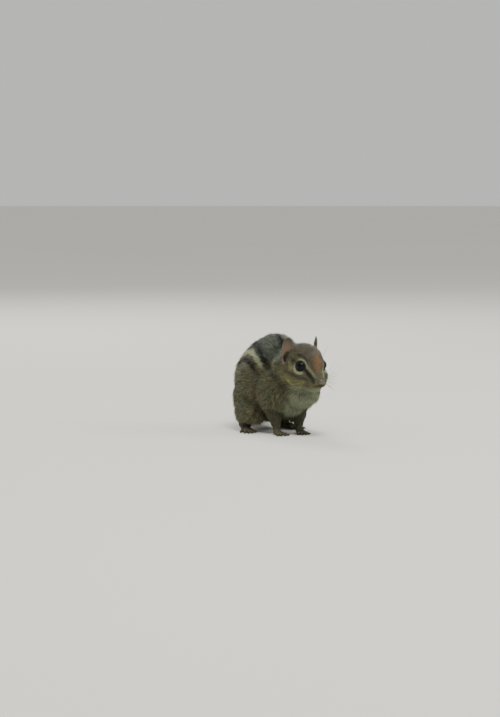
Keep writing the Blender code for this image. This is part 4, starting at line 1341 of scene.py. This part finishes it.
def skin_material():
    """The skin under the coat: the coat's own marks, with the nap of short hair as relief."""
    material, n, surface = new_material("Skin", 0.75, 0.25)
    n.join(n.add("ShaderNodeGroup", node_tree=coat_group()).outputs["Colour"], surface["Base Color"])
    n.join(n.relief(n.noise(2600.0, 4.0, 0.7), 0.5, 0.0003), surface["Normal"])
    return material


def eye_material(name, side):
    """A nearly black eye: a dark brown iris round a black pupil, under a clear gloss."""
    material, n, surface = new_material("Eye " + name, 0.05, 0.13)
    away = n.distance(HEAD @ (eye_middle(side) + mirrored(EYE_AXIS, side) * 4.0))
    iris = n.mix(n.spread(n.noise(1500.0, 3.0), 0.3, 0.7), (0.0045, 0.0042, 0.0044, 1), (0.0085, 0.0070, 0.0062, 1))
    colour = n.mix(n.spread(away, 0.0017, 0.0022), (0.0012, 0.0013, 0.0018, 1), iris)
    colour = n.mix(n.spread(away, 0.0032, 0.0038), colour, (0.003, 0.003, 0.0034, 1))
    n.join(colour, surface["Base Color"])
    return material


def lid_material():
    return grained_material("Eyelid", 2200.0, 4.0, ((0.005, 0.005, 0.005), (0.014, 0.013, 0.012)), 0.62, 0.2,
                            (0.4, 0.0002))


def nose_material():
    """Bare, moist, pinkish-brown skin with a fine cobbled grain, with painted shade in the nostrils and the cleft."""
    material, n, surface = new_material("Nose", 0.48)
    cells = n.add("ShaderNodeTexVoronoi", {"Vector": n.place(), "Scale": 3200.0}).outputs["Distance"]
    hollow = n.add("ShaderNodeNewGeometry").outputs["Pointiness"]
    away = n.distance(HEAD @ (NOSE_CENTRE + Vector((0.0, -2.2, -0.3))))
    colour = n.mix(n.spread(n.noise(500.0, 3.0), 0.3, 0.7), colour_of(paint(74, 67, 58)), colour_of(paint(96, 88, 76)))
    # Painted shade where the surface is hollow: the nostrils and the cleft
    colour = n.mix(n.spread(hollow, 0.48, 0.42), colour, colour_of(paint(38, 28, 25)))
    colour = n.mix(n.spread(away, 0.0014, 0.0027), colour, colour_of(paint(62, 54, 42)))
    n.join(colour, surface["Base Color"])
    n.join(n.relief(cells, 0.35, 0.0001), surface["Normal"])
    return material


def whisker_material():
    return grained_material("Whisker", 180.0, 2.0, ((0.022, 0.017, 0.013), (0.09, 0.07, 0.05)), 0.4)


def claw_material():
    return grained_material("Claw", 900.0, 3.0, (paint(38, 33, 28), paint(74, 65, 54)), 0.35, relief=(0.25, 0.0001))


def floor_material(colour):
    return grained_material("Pale floor", 1.5, 3.0, (colour, [v * 0.97 for v in colour]), 0.9, 0.1)


# ---------------------------------------------------------------------------------------------------------------------
# Stage


def camera_axes(azimuth, elevation):
    """The unit vectors from the animal back to the camera, to the image's right and to its top."""
    back = Vector((math.sin(azimuth) * math.cos(elevation), -math.cos(azimuth) * math.cos(elevation),
                   math.sin(elevation)))
    right = Vector((0, 0, 1)).cross(back).normalized()
    return back, right, back.cross(right)


def build_camera(settings):
    back, right, top = camera_axes(settings.azimuth, settings.elevation)
    aim = ANIMAL.translation - right * settings.aim_left + top * settings.aim_up
    data = bpy.data.cameras.new("camera")
    data.sensor_fit = "HORIZONTAL"
    data.sensor_width = 36.0
    data.lens = 36.0 * settings.distance / settings.view_width
    data.clip_start, data.clip_end = 0.05, 60.0
    camera = bpy.data.objects.new("camera", data)
    bpy.context.scene.collection.objects.link(camera)
    camera.matrix_world = Matrix.Translation(aim + back * settings.distance) @ Matrix(
        (right, top, back)).transposed().to_4x4()
    bpy.context.scene.camera = camera


def soft_light(name, place, size, power, colour):
    """A round soft light that looks at the middle of the animal."""
    data = bpy.data.lights.new(name, "AREA")
    data.shape = "DISK"
    data.size = size
    data.energy = power
    data.color = colour
    light = bpy.data.objects.new(name, data)
    bpy.context.scene.collection.objects.link(light)
    light.location = place
    light.rotation_euler = (Vector((0.0, 0.0, 0.04)) - Vector(place)).to_track_quat("-Z", "Y").to_euler()


def build_stage(settings):
    bm = bmesh.new()
    bmesh.ops.create_circle(bm, cap_ends=True, segments=96, radius=30.0)
    floor = from_bmesh("floor", bm)
    floor.data.materials.append(floor_material(settings.floor_colour))
    world = bpy.data.worlds.new("pale room")
    world.use_nodes = True
    background = world.node_tree.nodes["Background"]
    background.inputs["Color"].default_value = (*settings.room_colour, 1.0)
    background.inputs["Strength"].default_value = settings.room_light
    bpy.context.scene.world = world
    soft_light("key", (-0.25, -1.0, 1.7), 0.8, settings.key_power, (0.98, 0.98, 0.93))
    soft_light("fill", (1.3, -0.9, 0.7), 1.0, settings.key_power * 0.45, (0.93, 0.97, 1.0))
    soft_light("rim", (0.2, 1.4, 1.2), 0.7, settings.key_power * 0.6, (1.0, 0.98, 0.94))


# ---------------------------------------------------------------------------------------------------------------------
# Settings


def number(name, description, value, kind=FloatProperty, **more):
    return kind(name=name, description=description, default=value, **more)


def length_setting(name, description, value):
    return number(name, description, value, subtype="DISTANCE", unit="LENGTH", min=0.0)


def share_setting(name, description, value, least=0.0):
    return number(name, description, value, subtype="FACTOR", min=least, max=1.0)


def colour_setting(name, description, value):
    return number(name, description, value, FloatVectorProperty, size=3, subtype="COLOR", min=0.0, max=1.0)


class ChipmunkBody(bpy.types.PropertyGroup):
    seam_overlap: length_setting("Seam overlap", "How far the solids are grown to close their gaps", 0.0003)
    skin_grain: length_setting("Skin grain", "The size of the skin's faces", 0.0005)
    grain_kept: share_setting("Grain kept", "Share of the trunk's faces kept under its deep hair", 0.16, 0.05)
    body_depth: number("Body coat depth", "Depth of the coat on the trunk, millimetres", 2.5, min=0.1)
    mouth_depth: number("Mouth depth", "Depth of the line of the mouth, millimetres", 0.7, min=0.0)
    eye_radius: length_setting("Eye radius", "Radius of the eyeball", 0.004)
    lid_opening: number("Lid opening", "Half angle of the opening of the lids, degrees", 53.0, min=10.0, max=80.0)
    whisker_length: length_setting("Whisker length", "Length of the longest whiskers", 0.023)
    claw_length: length_setting("Claw length", "Length of the longest claws", 0.0027)


class ChipmunkHair(bpy.types.PropertyGroup):
    length_by_depth: number("Length by depth", "Hair length for each unit of coat depth", 2.2, min=0.5)
    guard_share: share_setting("Guard hairs", "Share of the hairs that stand up over the rest", 0.13)
    stray: number("Stray", "How much single hairs swing off the lie", 0.16, min=0.0)
    tuft_size: number("Tuft size", "How many hairs gather to one tip", 12, IntProperty, min=2)
    tuft_pull: share_setting("Tuft pull", "How closely a tuft's tips gather", 0.36)
    tail_length: number("Tail hair", "Longest hair of the tail, millimetres", 16.0)
    trunk_hairs: number("Trunk hairs", "Hairs on each piece of the trunk's coat", 11000, IntProperty)
    head_hairs: number("Head hairs", "Hairs on each piece of the head's coat", 17000, IntProperty)
    small_hairs: number("Small hairs", "Hairs on the ears, on the legs and on the feet", 7000, IntProperty)
    tail_hairs: number("Tail hairs", "Hairs of the tail's brush", 10000, IntProperty)


class ChipmunkColours(bpy.types.PropertyGroup):
    brown: colour_setting("Brown", "Flanks, legs and cheeks", paint(93, 96, 74))
    grey: colour_setting("Grey", "The speckled band of the back", paint(87, 94, 84))
    rust: colour_setting("Rust", "Forehead, rump and haunches", paint(146, 108, 72))
    ochre: colour_setting("Ochre", "Cheeks and feet", paint(162, 162, 110))
    pale: colour_setting("Pale", "Chest, belly and chin", paint(144, 150, 126))
    cream: colour_setting("Cream", "Stripes of the back and face", paint(186, 190, 156))
    dark: colour_setting("Dark", "Dark stripes", paint(15, 17, 16))
    pink: colour_setting("Pink", "Inside of the ears", paint(126, 108, 92))
    mauve: colour_setting("Mauve", "Crown and bridge of the nose", paint(96, 88, 77))
    frost: colour_setting("Frost", "Tips of the tail's hair", paint(188, 178, 150))


class ChipmunkStage(bpy.types.PropertyGroup):
    azimuth: number("Azimuth", "Camera's turn round the animal from straight ahead", math.radians(-26.0),
                    subtype="ANGLE")
    elevation: number("Elevation", "Camera's height over level", math.radians(4.5), subtype="ANGLE")
    distance: length_setting("Distance", "From the camera to the animal", 1.5)
    view_width: length_setting("View width", "Width that the view covers at the animal", 0.36)
    aim_left: length_setting("Aim left", "How far the view's middle is left of the forefeet", 0.0288)
    aim_up: length_setting("Aim up", "How far the view's middle is above the forefeet", 0.0544)
    key_power: number("Key power", "Power of the key light", 28.0, unit="POWER")
    room_light: number("Room light", "Strength of the light all round", 0.7)
    room_colour: colour_setting("Room colour", "Colour of the light all round", (0.93, 0.95, 0.92))
    floor_colour: colour_setting("Floor colour", "Colour of the floor", (0.80, 0.78, 0.72))


# ---------------------------------------------------------------------------------------------------------------------
# Operators


class ChipmunkOperator:
    bl_options = {"REGISTER", "UNDO"}

    def execute(self, context):
        self.build(context.scene)
        return {"FINISHED"}


class BuildSkin(ChipmunkOperator, bpy.types.Operator):
    """Lays one skin over all the flesh, with the coat's markings"""

    bl_idname = "chipmunk.skin"
    bl_label = "Skin"

    def build(self, scene):
        build_skin(scene.chipmunk_body)


class BuildFace(ChipmunkOperator, bpy.types.Operator):
    """Adds the eyes, lids, nose and whiskers"""

    bl_idname = "chipmunk.face"
    bl_label = "Face"

    def build(self, scene):
        for name, side in SIDES.items():
            build_eye(name, side, scene.chipmunk_body)
            build_lids(name, side, scene.chipmunk_body)
        build_nose()
        build_whiskers(scene.chipmunk_body)


class BuildClaws(ChipmunkOperator, bpy.types.Operator):
    """Adds a claw to each toe"""

    bl_idname = "chipmunk.claws"
    bl_label = "Claws"

    def build(self, scene):
        build_claws(scene.chipmunk_body)


class BuildTrunkCoat(ChipmunkOperator, bpy.types.Operator):
    """Grows the coat of the back, flanks, haunches and chest"""

    bl_idname = "chipmunk.trunk_coat"
    bl_label = "Coat of the trunk"

    def build(self, scene):
        hair = scene.chipmunk_hair
        for k, zone in enumerate(TRUNK_ZONES):
            grow_coat(zone, hair.trunk_hairs, 20 + k, hair)


class BuildHeadCoat(ChipmunkOperator, bpy.types.Operator):
    """Grows the short coat of the head and the ears"""

    bl_idname = "chipmunk.head_coat"
    bl_label = "Coat of the head"

    def build(self, scene):
        hair = scene.chipmunk_hair
        for name, side in SIDES.items():
            grow_coat("head", hair.head_hairs, 40 + side, hair, "head_" + name, half_of_head(side), finer=0.85)
        grow_coat("ears", hair.small_hairs, 50, hair, finer=0.7)


class BuildLimbCoat(ChipmunkOperator, bpy.types.Operator):
    """Grows the coat of the legs and feet"""

    bl_idname = "chipmunk.limb_coat"
    bl_label = "Coat of the legs and feet"

    def build(self, scene):
        hair = scene.chipmunk_hair
        grow_coat("legs", hair.small_hairs, 60, hair)
        grow_coat("feet", hair.small_hairs, 61, hair, crowding=tops_of_feet)


class BuildTailCoat(ChipmunkOperator, bpy.types.Operator):
    """Grows the brush of the tail"""

    bl_idname = "chipmunk.tail_coat"
    bl_label = "Coat of the tail"

    def build(self, scene):
        tail_brush(scene.chipmunk_hair.tail_hairs, 70, scene.chipmunk_hair)


class BuildStage(ChipmunkOperator, bpy.types.Operator):
    """Sets out the floor, the lights and the camera"""

    bl_idname = "chipmunk.stage"
    bl_label = "Stage"

    def build(self, scene):
        build_stage(scene.chipmunk_stage)
        build_camera(scene.chipmunk_stage)


class ChipmunkPanel(bpy.types.Panel):
    """Lists the pieces in the order they are built"""

    bl_idname = "VIEW3D_PT_chipmunk"
    bl_label = "Chipmunk"
    bl_space_type = "VIEW_3D"
    bl_region_type = "UI"
    bl_category = "Chipmunk"

    def draw(self, context):
        for operator in OPERATORS:
            self.layout.operator(operator.bl_idname)
        for name in SETTINGS:
            settings = getattr(context.scene, name)
            box = self.layout.box()
            for key in settings.__annotations__:
                box.prop(settings, key)


SETTINGS = {"chipmunk_body": ChipmunkBody, "chipmunk_hair": ChipmunkHair, "chipmunk_colours": ChipmunkColours,
            "chipmunk_stage": ChipmunkStage}
OPERATORS = (BuildSkin, BuildFace, BuildClaws, BuildTrunkCoat, BuildHeadCoat, BuildLimbCoat, BuildTailCoat, BuildStage)


def register():
    for group in SETTINGS.values():
        bpy.utils.register_class(group)
    for name, group in SETTINGS.items():
        setattr(bpy.types.Scene, name, PointerProperty(type=group))
    for operator in OPERATORS:
        bpy.utils.register_class(operator)
    bpy.utils.register_class(ChipmunkPanel)


def unregister():
    bpy.utils.unregister_class(ChipmunkPanel)
    for operator in reversed(OPERATORS):
        bpy.utils.unregister_class(operator)
    for name in SETTINGS:
        delattr(bpy.types.Scene, name)
    for group in reversed(list(SETTINGS.values())):
        bpy.utils.unregister_class(group)


def main():
    register()
    bpy.ops.chipmunk.skin()
    bpy.ops.chipmunk.face()
    bpy.ops.chipmunk.claws()
    bpy.ops.chipmunk.trunk_coat()
    bpy.ops.chipmunk.head_coat()
    bpy.ops.chipmunk.limb_coat()
    bpy.ops.chipmunk.tail_coat()
    bpy.ops.chipmunk.stage()


if __name__ == "__main__":
    main()
